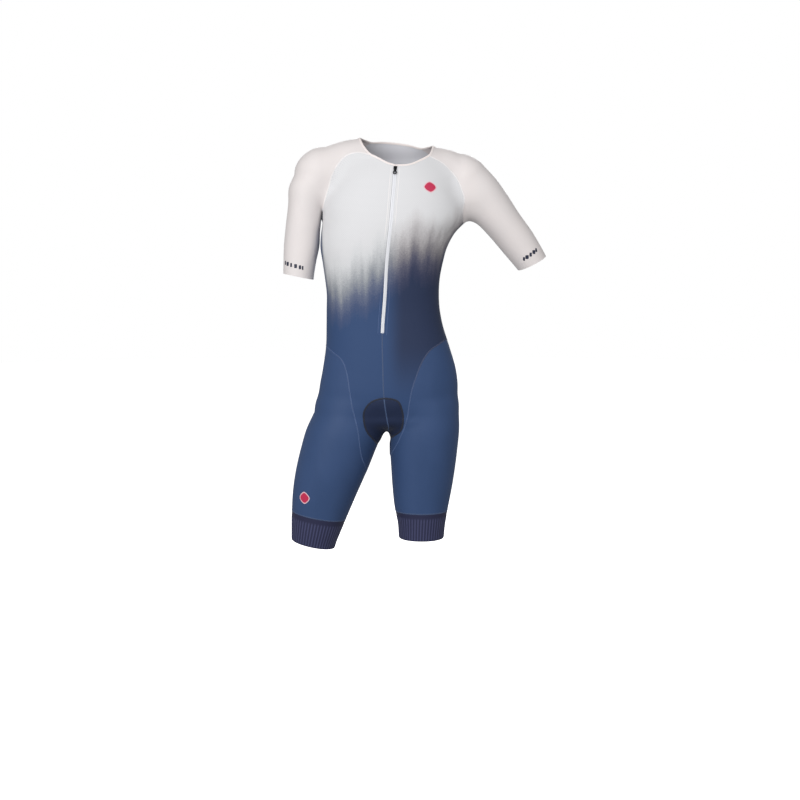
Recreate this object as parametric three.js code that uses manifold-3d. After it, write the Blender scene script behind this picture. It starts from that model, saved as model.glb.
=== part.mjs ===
// A short-sleeved one-piece triathlon suit as it looks when worn: an empty trunk of thin stretch cloth
// with two raglan sleeves, two legs that end in ribbed bands, a half-length front zip and a seat pad.
// Millimetres. +X is the wearer's left, -Y the front and +Z up. The origin is the middle of the neck's
// base, between the shoulders that carry the suit.
//
// Sections along straight axes, in short tables, give the trunk, neck, shoulders, arms and legs. Their
// soft union is the outer surface of the suit. Every panel is a grid of points on it between seams, and
// becomes a wall when the same points are moved inwards. Panels that share a seam share its points.
import * as THREE from "three";
import { mergeVertices } from "three/addons/utils/BufferGeometryUtils.js";
import Module from "manifold-3d";

const wasm = await Module();
wasm.setup();

// Cloth and the gaps between pieces
const CLOTH = 1.2;
const HALF_GAP = 0.17;
const LAYER_GAP = 0.35;

// Neck binding: height above the panels' edge, how proud it is of the cloth on each side, and how near
// its ends come to the middle of the zip
const BINDING_HEIGHT = 5;
const BINDING_PROUD = 0.5;
const BINDING_FROM_MIDDLE = 0.8;

// Zip
const ZIP_HALF_SLOT = 5;
const ZIP_HALF_TAPE = 11;
const ZIP_TAPE_THICK = 0.8;
const ZIP_END_STEP = 4;
const TAPE_BELOW_NECK = 1.2;
const SLIDER_BELOW_NECK = 0.5;
const SLIDER = { top: 3.5, bottom: 2.8, length: 9.5, back: -1.1, front: 1.7, bridge: 2.2 };
const BRIDGE = { hole: 1.25, wall: 0.9 };
const PULL = {
  half: 2.9, length: 12.8, thick: 1.2, bar: 0.55, window: 1.6, windowEnd: 2.7, shoulder: 6.4,
  stemStart: 8.2, stem: 2.3, ring: 4.6, hole: 2.2,
};
const ARC_STEPS = 16;

// Leg bands
const RIBS = 54;
const RIB_HEIGHT = 0.7;
const RIB_START = 0.19;

// Seat pad
const PAD_THICK = 5;
const PAD_COLUMNS = 3;
const PAD_ROWS = { front: 5, back: 4 };

// Step of a search on a line from inside the form, finer than the gap between sleeve and trunk
const OUT_STEP = 0.8;

// Grid sizes
const FRONT_COLUMNS = 7;
const SPREAD_ROUNDS = 20;
const PANEL_ROW_WEIGHT = 0.8;
const LEG_ROW_WEIGHT = 0.16;
const SLEEVE_ROW_WEIGHT = 0.75;
const SLEEVE_ROUNDS = 4;
const SLEEVE_COLUMNS = 20;
const ROWS = { raglan: 8, side: 9, hip: 12, zip: 16, arm: 9, leg: 12, band: 3 };

// Sections: the place along the axis, the centre across and deep, the half width, and the half depths
// in front of and behind the centre
const SECTION = ["at", "across", "deep", "half", "front", "back"];
const TORSO = {
  origin: [0, 0, 0], along: [0, 0, 1], across: [1, 0, 0], power: 2.35, lowCap: 34, highCap: 22,
  rows: [
    [-646, -20, 0, 150, 84, 108],
    [-620, -20, 0, 166, 96, 119],
    [-597, -19, 0, 169, 100, 121],
    [-533, -16.5, 0, 162, 102, 112],
    [-484, -20, 0, 151, 101, 98],
    [-426, -28, 0, 141, 98, 86],
    [-392, -31, 0, 137.5, 97, 82],
    [-351, -32, 0, 136, 99, 83],
    [-315, -33, 0, 139, 102, 87],
    [-278, -32, 0, 145, 107, 92],
    [-239, -29.2, 0, 153.2, 112, 98],
    [-208, -20, 0, 160.5, 115, 102],
    [-185, -9.7, 0, 167.7, 116, 104],
    [-140, -6, 0, 168, 111, 105],
    [-100, -5, 0, 152, 101, 101],
    [-60, -4, 0, 122, 86, 89],
    [-34, -3, 0, 92, 68, 74],
  ],
};
const GIRDLE = {
  origin: [0, 0, 0], along: [1, 0, 0], across: [0, 0, 1], power: 2, lowCap: 40, highCap: 38,
  rows: [
    [-172, -50, 4, 42, 46, 46],
    [-146, -46, 4, 52, 50, 50],
    [-100, -39, 6, 56, 56, 56],
    [-50, -33, 8, 53, 58, 58],
    [0, -36, 10, 50, 60, 60],
    [50, -44, 8, 53, 58, 58],
    [100, -58, 6, 55, 56, 56],
    [136, -68, 4, 57, 51, 51],
    [156, -77, 4, 58, 46, 46],
  ],
};
const NECK = {
  origin: [0, 8, 0], along: [0, 0, 1], across: [1, 0, 0], power: 2, lowCap: 10, highCap: 10,
  rows: [
    [-60, 0, 0, 74, 66, 60],
    [-20, 0, 0, 66, 62, 56],
    [20, 0, 0, 60, 58, 54],
    [70, 0, 0, 56, 56, 54],
  ],
};
const ARM_RIGHT = {
  origin: [0, 0, 0], along: [0, 0, 1], across: [1, 0, 0], power: 2, lowCap: 30, highCap: 49,
  rows: [
    [-340, -238, 0, 36, 40, 40],
    [-311, -236.5, 0, 36.8, 42, 42],
    [-275, -233, 0, 39.3, 44, 44],
    [-239, -228.5, 0, 42.5, 46, 46],
    [-197, -225, 0, 41.8, 49, 49],
    [-137, -216, 0, 43.5, 53, 53],
    [-95, -204.5, 0, 52, 56, 56],
    [-67, -188, 2, 55.5, 56, 56],
  ],
};
const ARM_LEFT = {
  origin: [172, 0, -76], along: [158, 24, -203], across: [203, 0, 158], power: 2, lowCap: 46, highCap: 30,
  rows: [
    [0, 0, 2, 49, 53, 53],
    [40, 2, 0, 51, 54, 54],
    [90, 2.5, 0, 49.5, 52, 52],
    [140, 3.5, 0, 45, 49, 49],
    [200, 4.5, 0, 42.5, 45, 45],
    [259, 2.5, 0, 37.5, 41, 41],
    [290, 0, 0, 35, 39, 39],
  ],
};
const LEG_RIGHT = {
  origin: [0, 0, 0], along: [0, 0, 1], across: [1, 0, 0], power: 2.1, lowCap: 20, highCap: 60,
  rows: [
    [-1010, -209, 4, 52, 56, 58],
    [-969, -204.5, 4, 55, 59, 61],
    [-943, -199, 3, 60, 63, 65],
    [-887, -186.5, 2, 71.5, 70, 74],
    [-855, -179, 1, 77.5, 75, 80],
    [-785, -159, 0, 88, 85, 92],
    [-730, -141.5, 0, 92.5, 90, 102],
    [-683, -124.5, 0, 95.5, 92, 108],
    [-640, -112, 0, 88, 88, 108],
  ],
};
const LEG_LEFT = {
  origin: [0, 0, 0], along: [0, 0, 1], across: [1, 0, 0], power: 2.1, lowCap: 20, highCap: 60,
  rows: [
    [-1000, 63, 0, 52, 55, 57],
    [-952, 62.5, 0, 55.5, 59, 61],
    [-920, 63, 0, 58, 62, 64],
    [-873, 62.5, 0, 67, 67, 70],
    [-827, 64.5, 0, 73.5, 74, 79],
    [-781, 66.5, 0, 78.5, 80, 88],
    [-735, 68, 0, 82.5, 86, 98],
    [-683, 71, 0, 84, 90, 106],
    [-640, 72, 0, 82, 88, 108],
  ],
};

// Seam points, each x, y and z, brought onto the form before use. The ring goes from the zip over the
// right shoulder, the back and the left shoulder to the zip again.
const NECK_RING = [
  [-1, -84, -54], [-20, -80, -48], [-43, -71, -36], [-63, -62, -25], [-77, -47, -8],
  [-88, -20, 12], [-91, 8, 22], [-84, 34, 23], [-66, 53, 15], [-35, 64, 13],
  [0, 68, 10], [35, 64, 5], [66, 53, -1], [84, 34, 2], [92, 8, 0],
  [91, -18, -5], [80, -52, -28], [60, -66, -40], [33, -80, -51], [-1, -84, -54],
];
const NECK_CORNERS = { frontRight: 3, backRight: 8, backLeft: 12, frontLeft: 16, end: 19 };
const CENTRE = [
  [-1, -84, -54], [-6, -102, -115], [-11, -116, -177], [-21, -108, -270], [-26, -99, -357],
  [-32, -99, -442], [-31, -100, -520], [-28, -100, -599], [-23, -92, -640], [-19, -78, -661],
  [-18, -40, -681], [-19, 0, -683],
];
const ZIP_BOTTOM = 5;
const SEAMS = {
  right: {
    raglanFront: [[-63, -62, -25], [-82, -52, -20], [-101, -46, -19], [-118, -46, -27],
      [-132, -48, -40], [-147, -51, -60], [-156, -47, -85], [-162, -41, -113], [-171, -36, -138],
      [-178, 0, -160]],
    raglanBack: [[-66, 53, 15], [-90, 58, 5], [-115, 62, -20], [-138, 62, -55], [-152, 58, -95],
      [-166, 42, -132], [-178, 0, -160]],
    side: [[-178, 0, -160], [-177, 3, -178], [-180, 5, -204], [-182, 8, -240], [-175, 10, -278],
      [-170, 10, -336], [-169, 10, -390], [-170, 8, -430], [-172, 4, -476]],
    hipFront: [[-172, 4, -476], [-163, -41, -482], [-148, -64, -493], [-131, -77, -505],
      [-123, -83, -518], [-117, -86, -538], [-113, -89, -563], [-108, -90, -593], [-102, -90, -633],
      [-95, -88, -655], [-89, -81, -701], [-86, -60, -745], [-82, -34, -770], [-84, -5, -787]],
    hipBack: [[-172, 4, -476], [-167, 40, -496], [-154, 74, -522], [-141, 95, -556],
      [-130, 108, -600], [-120, 112, -650], [-110, 104, -700], [-100, 82, -742], [-90, 42, -772],
      [-84, -5, -787]],
    inseam: [[-19, 0, -683], [-38, -2, -706], [-55, -3, -730], [-70, -4, -757], [-84, -5, -787]],
  },
  left: {
    raglanFront: [[80, -52, -28], [93, -48, -34], [121, -50, -53], [144, -52, -79], [158, -52, -112],
      [163, -49, -138], [159, -47, -156], [156, -38, -172], [160, 0, -184]],
    raglanBack: [[66, 53, -1], [90, 58, -15], [113, 62, -40], [134, 62, -75], [150, 60, -115],
      [158, 48, -155], [160, 0, -184]],
    side: [[160, 0, -184], [147, 4, -197], [136, 6, -212], [124, 8, -239], [113, 8, -278],
      [106, 10, -315], [105, 10, -351], [107, 10, -392], [115, 8, -432], [126, 4, -463]],
    hipFront: [[126, 4, -463], [121, -26, -461], [101, -64, -472], [74, -86, -491], [56, -95, -525],
      [46, -98, -553], [38, -98, -578], [32, -96, -610], [28, -87, -641], [19, -73, -674],
      [11, -62, -697], [2, -49, -721], [-8, -5, -748]],
    hipBack: [[126, 4, -463], [122, 40, -482], [106, 74, -508], [90, 95, -542], [77, 107, -586],
      [66, 112, -636], [52, 106, -684], [34, 88, -718], [8, 46, -740], [-8, -5, -748]],
    inseam: [[-19, 0, -683], [-15, -2, -700], [-11, -4, -720], [-8, -5, -748]],
  },
};

// Where the arms' middle lines pass the armpits
const ARM_PITS = {
  right: { centre: [-221, 0, -160], down: [-0.25, 0, -0.97] },
  left: { centre: [205, 6, -125], down: [0.75, 0, -0.66] },
};

// Flat ends: centre, the way down the limb and, for the legs, the way to the first point
const CUFFS = {
  right: { centre: [-236.5, 0, -311], down: [-0.2, 0, -0.98] },
  left: { centre: [330, 24, -279], down: [0.47, 0.1, -0.88] },
};
const BANDS = {
  right: {
    seam: { centre: [-189, 2, -896], down: [-0.18, 0, -0.98], first: [-1, 0, 0] },
    hem: { centre: [-204.5, 4, -969], down: [-0.21, 0, -0.98], first: [-1, 0, 0] },
  },
  left: {
    seam: { centre: [65.5, 0, -884], down: [0, 0, -1], first: [1, 0, 0] },
    hem: { centre: [62.5, 0, -953], down: [0, 0, -1], first: [1, 0, 0] },
  },
};

const COLOURS = {
  front: "#8d97ab", back: "#3c4a6c", sleeve: "#e6dfde", leg: "#35466c", band: "#2f3250",
  binding: "#f3dcd3", tape: "#e9ebf2", metal: "#1b1c20", pad: "#222a42",
};

const add = (a, b, s = 1) => [a[0] + b[0] * s, a[1] + b[1] * s, a[2] + b[2] * s];
const sub = (a, b) => add(a, b, -1);
const dot = (a, b) => a[0] * b[0] + a[1] * b[1] + a[2] * b[2];
const cross = (a, b) => [a[1] * b[2] - a[2] * b[1], a[2] * b[0] - a[0] * b[2], a[0] * b[1] - a[1] * b[0]];
const size = (a) => Math.hypot(a[0], a[1], a[2]);
const times = (a, s) => [a[0] * s, a[1] * s, a[2] * s];
const unit = (a) => times(a, 1 / Math.max(size(a), 1e-12));
const mix = (a, b, t) => add(times(a, 1 - t), b, t);
const mix1 = (a, b, t) => a + (b - a) * t;
const clamp = (x, low, high) => Math.min(high, Math.max(low, x));
const ramp = (x, from, to) => {
  const t = clamp((x - from) / (to - from), 0, 1);
  return t * t * (3 - 2 * t);
};
const range = (count) => Array.from({ length: count }, (unused, i) => i);
const last = (list) => list[list.length - 1];

// A table whose rows start with a rising number, read smoothly at any number between
function makeTable(rows) {
  const at = rows.map((row) => row[0]);
  const columns = range(rows[0].length - 1).map((c) => rows.map((row) => row[c + 1]));
  const steps = range(at.length - 1).map((i) => at[i + 1] - at[i]);
  const slopes = columns.map((column) => {
    const chords = steps.map((step, i) => (column[i + 1] - column[i]) / step);
    return column.map((value, i) => {
      if (i === 0) return chords[0];
      if (i === column.length - 1) return last(chords);
      return (chords[i - 1] * steps[i] + chords[i] * steps[i - 1]) / (steps[i] + steps[i - 1]);
    });
  });
  return { at, columns, steps, slopes };
}

function readTable(table, x) {
  let i = 0;
  while (i < table.steps.length - 1 && x > table.at[i + 1]) i += 1;
  const step = table.steps[i];
  const t = (x - table.at[i]) / step;
  const t2 = t * t;
  const t3 = t2 * t;
  return table.columns.map((column, c) => {
    const slope = table.slopes[c];
    return (2 * t3 - 3 * t2 + 1) * column[i] + (t3 - 2 * t2 + t) * slope[i] * step
      + (3 * t2 - 2 * t3) * column[i + 1] + (t3 - t2) * slope[i + 1] * step;
  });
}

function makeTube(sections) {
  const along = unit(sections.along);
  const across = unit(sections.across);
  const side = cross(along, across);
  return {
    ...sections,
    along,
    across,
    deep: side[1] < 0 ? times(side, -1) : side,
    table: makeTable(sections.rows),
    low: sections.rows[0][0],
    high: last(sections.rows)[0],
  };
}

// How far a point lies outside a tube, below zero inside it
function outside(tube, point) {
  const place = sub(point, tube.origin);
  const at = dot(place, tube.along);
  const held = clamp(at, tube.low, tube.high);
  const row = readTable(tube.table, held);
  const section = Object.fromEntries(SECTION.slice(1).map((name, i) => [name, row[i]]));
  const a = dot(place, tube.across) - section.across;
  const b = dot(place, tube.deep) - section.deep;
  const c = at - held;
  const depth = b < 0 ? section.front : section.back;
  const cap = c < 0 ? tube.lowCap : tube.highCap;
  const share = (Math.abs(a / section.half) ** tube.power + Math.abs(b / depth) ** tube.power
    + Math.abs(c / cap) ** tube.power) ** (1 / tube.power);
  const far = Math.hypot(a, b, c);
  return far - far / Math.max(share, 1e-6);
}

const torso = makeTube(TORSO);
const girdle = makeTube(GIRDLE);
const neck = makeTube(NECK);
const arms = { right: makeTube(ARM_RIGHT), left: makeTube(ARM_LEFT) };
const legs = { right: makeTube(LEG_RIGHT), left: makeTube(LEG_LEFT) };

function softLeast(a, b, reach) {
  const share = Math.max(reach - Math.abs(a - b), 0) / reach;
  return Math.min(a, b) - (share * share * reach) / 4;
}

// Zero on the outer surface of the suit's form, below zero inside it
function form(point) {
  const z = point[2];
  let value = softLeast(outside(torso, point), outside(girdle, point), 40);
  value = softLeast(value, outside(neck, point), 40);
  value = softLeast(value, outside(arms.right, point), 1 + 43 * ramp(z, -166, -112));
  value = softLeast(value, outside(arms.left, point), 52 - 30 * ramp(z, -140, -70));
  value = softLeast(value, outside(legs.right, point), 22);
  return softLeast(value, outside(legs.left, point), 22);
}

function slopeOf(point) {
  const e = 0.4;
  return range(3).map((k) => {
    const step = [0, 0, 0];
    step[k] = e;
    return (form(add(point, step)) - form(sub(point, step))) / (2 * e);
  });
}

const outward = (point) => unit(slopeOf(point));

// The point of the surface near a given point
function onto(point, rounds = 12) {
  let place = point;
  for (let i = 0; i < rounds; i += 1) {
    const value = form(place);
    if (Math.abs(value) < 1e-4) break;
    const way = slopeOf(place);
    const move = times(way, -value / Math.max(dot(way, way), 0.2));
    place = add(place, move, Math.min(1, 15 / Math.max(size(move), 1e-9)));
  }
  return place;
}

// A smooth curve through points, and the places of those points along it
function makeCurve(points) {
  const rows = [];
  let at = 0;
  points.forEach((point, i) => {
    if (i > 0) at += size(sub(point, points[i - 1]));
    rows.push([at, ...point]);
  });
  return makeTable(rows);
}

// Points of the surface along a curve between two places on it, at equal steps or at given distances
function alongCurve(curve, from, to, steps) {
  const fine = range(161).map((i) => readTable(curve, from + ((to - from) * i) / 160));
  const far = [0];
  fine.slice(1).forEach((point, i) => far.push(far[i] + size(sub(point, fine[i]))));
  const distances = typeof steps === "number"
    ? range(steps + 1).map((i) => (last(far) * i) / steps)
    : steps(last(far));
  return distances.map((distance) => {
    let i = 0;
    while (i < 159 && far[i + 1] < distance) i += 1;
    const t = clamp((distance - far[i]) / (far[i + 1] - far[i]), 0, 1);
    return onto(mix(fine[i], fine[i + 1], t));
  });
}

function wholeCurve(points, steps) {
  const curve = makeCurve(points);
  return alongCurve(curve, 0, last(curve.at), steps);
}

// Distances from the middle: the edge, the tape's width, then equal steps to the end
const fromMiddle = (edge) => (total) => [
  edge,
  ZIP_HALF_TAPE,
  ...range(FRONT_COLUMNS).map((i) => mix1(ZIP_HALF_TAPE, total, (i + 1) / FRONT_COLUMNS)),
];

// The first point of the surface on a straight line from inside it
function firstOut(start, way) {
  let near = 0;
  let far = OUT_STEP;
  while (form(add(start, way, far)) < 0 && far < 160) {
    near = far;
    far += OUT_STEP;
  }
  for (let k = 0; k < 30; k += 1) {
    const middle = (near + far) / 2;
    if (form(add(start, way, middle)) < 0) near = middle;
    else far = middle;
  }
  return add(start, way, near);
}

// Points of a flat ring round a limb, found on straight lines from its centre
function ringPoints(ring, count, turn) {
  const down = unit(ring.down);
  const first = unit(sub(ring.first, times(down, dot(ring.first, down))));
  const side = times(cross(down, first), turn);
  return range(count).map((i) => {
    const angle = (2 * Math.PI * i) / count;
    return firstOut(ring.centre, add(times(first, Math.cos(angle)), side, Math.sin(angle)));
  });
}

// Grids are lists of rows of points. This one fills the space between four edges, pushed out by a way
// that fades at the edges.
function fillBetween(top, bottom, left, right, push) {
  const n = left.length - 1;
  const m = top.length - 1;
  return range(n + 1).map((i) => range(m + 1).map((j) => {
    if (i === 0) return top[j];
    if (i === n) return bottom[j];
    if (j === 0) return left[i];
    if (j === m) return right[i];
    const u = j / m;
    const v = i / n;
    const rows = mix(top[j], bottom[j], v);
    const columns = mix(left[i], right[i], u);
    const corners = mix(mix(top[0], top[m], u), mix(bottom[0], bottom[m], u), v);
    const fade = Math.sqrt(4 * u * (1 - u)) * Math.min(1, 5 * v, 5 * (1 - v));
    return onto(add(sub(add(rows, columns), corners), push, fade));
  }));
}

// Spreads the inner points of a grid over the surface, each drawn to its neighbours in its row by one
// weight and to those in its column by the rest
function spread(grid, closed, rowWeight, rounds = SPREAD_ROUNDS) {
  let now = grid;
  const n = grid.length - 1;
  const m = grid[0].length;
  const isFixed = (i, j) => i === 0 || i === n || (!closed && (j === 0 || j === m - 1));
  for (let k = 0; k < rounds; k += 1) {
    const before = now;
    now = before.map((row, i) => row.map((point, j) => {
      if (isFixed(i, j)) return point;
      const beside = mix(row[(j + m - 1) % m], row[(j + 1) % m], 0.5);
      const overAndUnder = mix(before[i - 1][j], before[i + 1][j], 0.5);
      return onto(mix(point, mix(overAndUnder, beside, rowWeight), 0.8), 2);
    }));
  }
  return now.map((row, i) => row.map((point, j) => (isFixed(i, j) ? point : onto(point))));
}

// Ways from a closed loop's points into the panel, each long enough to move both of its edges by one
function waysInside(loop, insides, ways) {
  const count = loop.length;
  const sides = loop.map((point, i) => unit(cross(ways[i], sub(loop[(i + 1) % count], point))));
  const facing = sides.reduce((sum, side, i) => sum + dot(side, sub(insides[i], loop[i])), 0);
  const faced = sides.map((side) => times(side, Math.sign(facing)));
  return faced.map((side, i) => {
    const before = faced[(i + count - 1) % count];
    return times(add(before, side), 1 / Math.max(1 + dot(before, side), 0.5));
  });
}

// A grid's points with the edges moved in, and the way out of the cloth at each
function trimmed(grid, closed, flatEdges = {}) {
  const n = grid.length - 1;
  const m = grid[0].length - 1;
  const ways = grid.map((row) => row.map((point) => outward(point)));
  Object.entries(flatEdges).forEach(([row, down]) => {
    const way = unit(down);
    ways[row] = ways[row].map((out) => unit(sub(out, times(way, dot(out, way)))));
  });
  const points = grid.map((row) => row.slice());
  if (closed) {
    [[0, 1], [n, n - 1]].forEach(([i, inner]) => {
      const flat = flatEdges[i] && unit(flatEdges[i]);
      const moves = flat ? grid[i].map(() => times(flat, -1)) : waysInside(grid[i], grid[inner], ways[i]);
      points[i] = grid[i].map((point, j) => add(point, moves[j], HALF_GAP));
    });
    return { points, ways };
  }
  const places = [
    ...range(m).map((j) => [0, j]),
    ...range(n).map((i) => [i, m]),
    ...range(m).map((j) => [n, m - j]),
    ...range(n).map((i) => [n - i, 0]),
  ];
  const loop = places.map(([i, j]) => grid[i][j]);
  const insides = places.map(([i, j]) => grid[clamp(i, 1, n - 1)][clamp(j, 1, m - 1)]);
  const moves = waysInside(loop, insides, places.map(([i, j]) => ways[i][j]));
  places.forEach(([i, j], k) => {
    points[i][j] = add(points[i][j], moves[k], HALF_GAP);
  });
  return { points, ways };
}

// A closed wall between an outer and an inner grid
function wall(outer, inner, closed) {
  const n = outer.length;
  const m = outer[0].length;
  const points = [...outer.flat(), ...inner.flat()];
  const faces = [];
  const at = (layer, i, j) => layer * n * m + i * m + (j % m);
  const quad = (a, b, c, d) => faces.push([a, b, c], [a, c, d]);
  const across = closed ? m : m - 1;
  range(n - 1).forEach((i) => range(across).forEach((j) => {
    const outerRing = [at(0, i, j), at(0, i + 1, j), at(0, i + 1, j + 1), at(0, i, j + 1)];
    const [a, b, c, d] = outerRing.map((k) => points[k]);
    const ring = size(sub(a, c)) > size(sub(b, d)) ? [...outerRing.slice(1), outerRing[0]] : outerRing;
    quad(...ring);
    quad(ring[0] + n * m, ring[3] + n * m, ring[2] + n * m, ring[1] + n * m);
  }));
  range(across).forEach((j) => {
    quad(at(1, 0, j), at(0, 0, j), at(0, 0, j + 1), at(1, 0, j + 1));
    quad(at(0, n - 1, j), at(1, n - 1, j), at(1, n - 1, j + 1), at(0, n - 1, j + 1));
  });
  if (!closed) {
    range(n - 1).forEach((i) => {
      quad(at(0, i, 0), at(1, i, 0), at(1, i + 1, 0), at(0, i + 1, 0));
      quad(at(1, i, m - 1), at(0, i, m - 1), at(0, i + 1, m - 1), at(1, i + 1, m - 1));
    });
  }
  return facingOut(points, faces);
}

function facingOut(points, faces) {
  const volume = faces.reduce((sum, [a, b, c]) => sum + dot(points[a], cross(points[b], points[c])), 0);
  return { points, faces: volume < 0 ? faces.map(([a, b, c]) => [a, c, b]) : faces };
}

function meshOf(name, body, colour, roughness = 0.8) {
  const geometry = new THREE.BufferGeometry();
  geometry.setAttribute("position", new THREE.Float32BufferAttribute(body.points.flat(), 3));
  geometry.setIndex(body.faces.flat());
  geometry.computeVertexNormals();
  const mesh = new THREE.Mesh(geometry, new THREE.MeshStandardMaterial({ color: colour, roughness }));
  mesh.name = name;
  return mesh;
}

// A sheet's points moved out by a distance, or in by one below zero
function moved(sheet, distance) {
  return sheet.points.map((row, i) => row.map((point, j) => add(point, sheet.ways[i][j], distance)));
}

const clothWall = (sheet, closed = false) => wall(sheet.points, moved(sheet, -CLOTH), closed);

// Neck ring, in the arcs that the panels take from it
const neckCurve = makeCurve(NECK_RING);
const neckPlace = (corner) => neckCurve.at[NECK_CORNERS[corner]];
const neckArcs = {
  frontRight: alongCurve(neckCurve, 0, neckPlace("frontRight"), fromMiddle(ZIP_HALF_SLOT)),
  shoulderRight: alongCurve(neckCurve, neckPlace("frontRight"), neckPlace("backRight"), SLEEVE_COLUMNS),
  back: alongCurve(neckCurve, neckPlace("backRight"), neckPlace("backLeft"), 2 * FRONT_COLUMNS + 2),
  shoulderLeft: alongCurve(neckCurve, neckPlace("backLeft"), neckPlace("frontLeft"), SLEEVE_COLUMNS),
  frontLeft: alongCurve(neckCurve, neckPlace("end"), neckPlace("frontLeft"), fromMiddle(ZIP_HALF_SLOT)),
};

// Middle line of the front, from the neck to the crotch
const centreCurve = makeCurve(CENTRE);
const zipEnd = centreCurve.at[ZIP_BOTTOM];
const zipLine = alongCurve(centreCurve, 0, zipEnd, ROWS.zip);
const seamLine = alongCurve(
  centreCurve,
  zipEnd + ZIP_END_STEP,
  last(centreCurve.at),
  ROWS.raglan + ROWS.side + ROWS.hip - ROWS.zip - 1,
);
const middle = [...zipLine, ...seamLine];

// Points beside the middle line, towards -X or +X
function besideMiddle(side, distance) {
  return middle.map((point, i) => {
    const down = sub(middle[Math.min(i + 1, middle.length - 1)], middle[Math.max(i - 1, 0)]);
    const across = unit(cross(outward(point), down));
    const way = across[0] * side < 0 ? times(across, -1) : across;
    return onto(add(point, way, distance(i)));
  });
}

function sideChain(seams, raglan, hip) {
  return [
    ...wholeCurve(raglan, ROWS.raglan),
    ...wholeCurve(seams.side, ROWS.side).slice(1),
    ...wholeCurve(hip, ROWS.hip).slice(1),
  ];
}

const inseams = {
  right: wholeCurve(SEAMS.right.inseam, fromMiddle(0)),
  left: wholeCurve(SEAMS.left.inseam, fromMiddle(0)),
};

function frontGrid(side) {
  const sign = side === "right" ? -1 : 1;
  const top = side === "right" ? neckArcs.frontRight : neckArcs.frontLeft;
  const bottom = inseams[side];
  const edge = besideMiddle(sign, (i) => (i <= ROWS.zip ? ZIP_HALF_SLOT : 0));
  const stitched = besideMiddle(sign, () => ZIP_HALF_TAPE);
  const chain = sideChain(SEAMS[side], SEAMS[side].raglanFront, SEAMS[side].hipFront);
  stitched[0] = top[1];
  stitched[stitched.length - 1] = bottom[1];
  const filled = fillBetween(top.slice(1), bottom.slice(1), stitched, chain, [0, -40, 0]);
  const inner = spread(filled, false, PANEL_ROW_WEIGHT);
  return inner.map((row, i) => {
    if (i === 0) return [top[0], ...row];
    if (i === inner.length - 1) return [bottom[0], ...row];
    return [edge[i], ...row];
  });
}

const fronts = { right: frontGrid("right"), left: frontGrid("left") };
const backGrid = spread(fillBetween(
  neckArcs.back,
  [...inseams.right.slice(1).reverse(), ...inseams.left],
  sideChain(SEAMS.right, SEAMS.right.raglanBack, SEAMS.right.hipBack),
  sideChain(SEAMS.left, SEAMS.left.raglanBack, SEAMS.left.hipBack),
  [0, 120, 0],
), false, PANEL_ROW_WEIGHT);

// A sleeve's rows: over the shoulder from raglan seam to raglan seam, then round the arm from its
// underarm seam to that seam again. Each is found on straight lines from the middle of its plane.
function sleeveGrid(side) {
  const sign = side === "right" ? -1 : 1;
  const seams = SEAMS[side];
  const cuff = CUFFS[side];
  const pit = ARM_PITS[side];
  const neckArc = side === "right" ? neckArcs.shoulderRight : [...neckArcs.shoulderLeft].reverse();
  const front = wholeCurve(seams.raglanFront, ROWS.raglan);
  const back = wholeCurve(seams.raglanBack, ROWS.raglan);
  const neckEnd = { centre: mix(front[0], back[0], 0.5), down: [sign, 0, -0.1] };
  const grid = range(ROWS.raglan + ROWS.arm + 1).map((i) => {
    if (i === 0) return neckArc;
    const onCap = i <= ROWS.raglan;
    const t = onCap ? i / ROWS.raglan : (i - ROWS.raglan) / ROWS.arm;
    const [start, end] = onCap ? [neckEnd, pit] : [pit, cuff];
    const down = unit(mix(start.down, end.down, t));
    let centre = mix(start.centre, end.centre, t);
    if (onCap) centre = add(centre, down, dot(sub(mix(front[i], back[i], 0.5), centre), down));
    const up = unit(times(cross(down, [0, -1, 0]), -sign));
    const across = cross(up, down);
    const ahead = across[1] > 0 ? times(across, -1) : across;
    const turnTo = (point) => Math.atan2(dot(sub(point, centre), up), dot(sub(point, centre), ahead));
    const from = onCap ? turnTo(front[i]) : -Math.PI / 2;
    const upTo = onCap ? turnTo(back[i]) : -Math.PI / 2;
    const to = upTo <= from + 0.01 || upTo < 0 ? upTo + 2 * Math.PI : upTo;
    const row = range(SLEEVE_COLUMNS + 1).map((j) => {
      const angle = mix1(from, to, j / SLEEVE_COLUMNS);
      return firstOut(centre, add(times(ahead, Math.cos(angle)), up, Math.sin(angle)));
    });
    if (!onCap) return [...row.slice(0, -1), row[0]];
    return [front[i], ...row.slice(1, -1), back[i]];
  });
  return spread(grid, false, SLEEVE_ROW_WEIGHT, SLEEVE_ROUNDS);
}

// A leg's rows: from the loop of its hip and seat seams down to the band's flat seam
function legGrid(side) {
  const seams = SEAMS[side];
  const loop = [
    ...wholeCurve(seams.hipFront, ROWS.hip),
    ...wholeCurve(seams.hipBack, ROWS.hip).reverse().slice(1, -1),
  ];
  const ring = ringPoints(BANDS[side].seam, loop.length, side === "right" ? -1 : 1);
  const rows = range(ROWS.leg + 1).map((i) => loop.map((point, j) => {
    if (i === 0) return point;
    return i === ROWS.leg ? ring[j] : onto(mix(point, ring[j], i / ROWS.leg));
  }));
  return spread(rows, true, LEG_ROW_WEIGHT);
}

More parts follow.
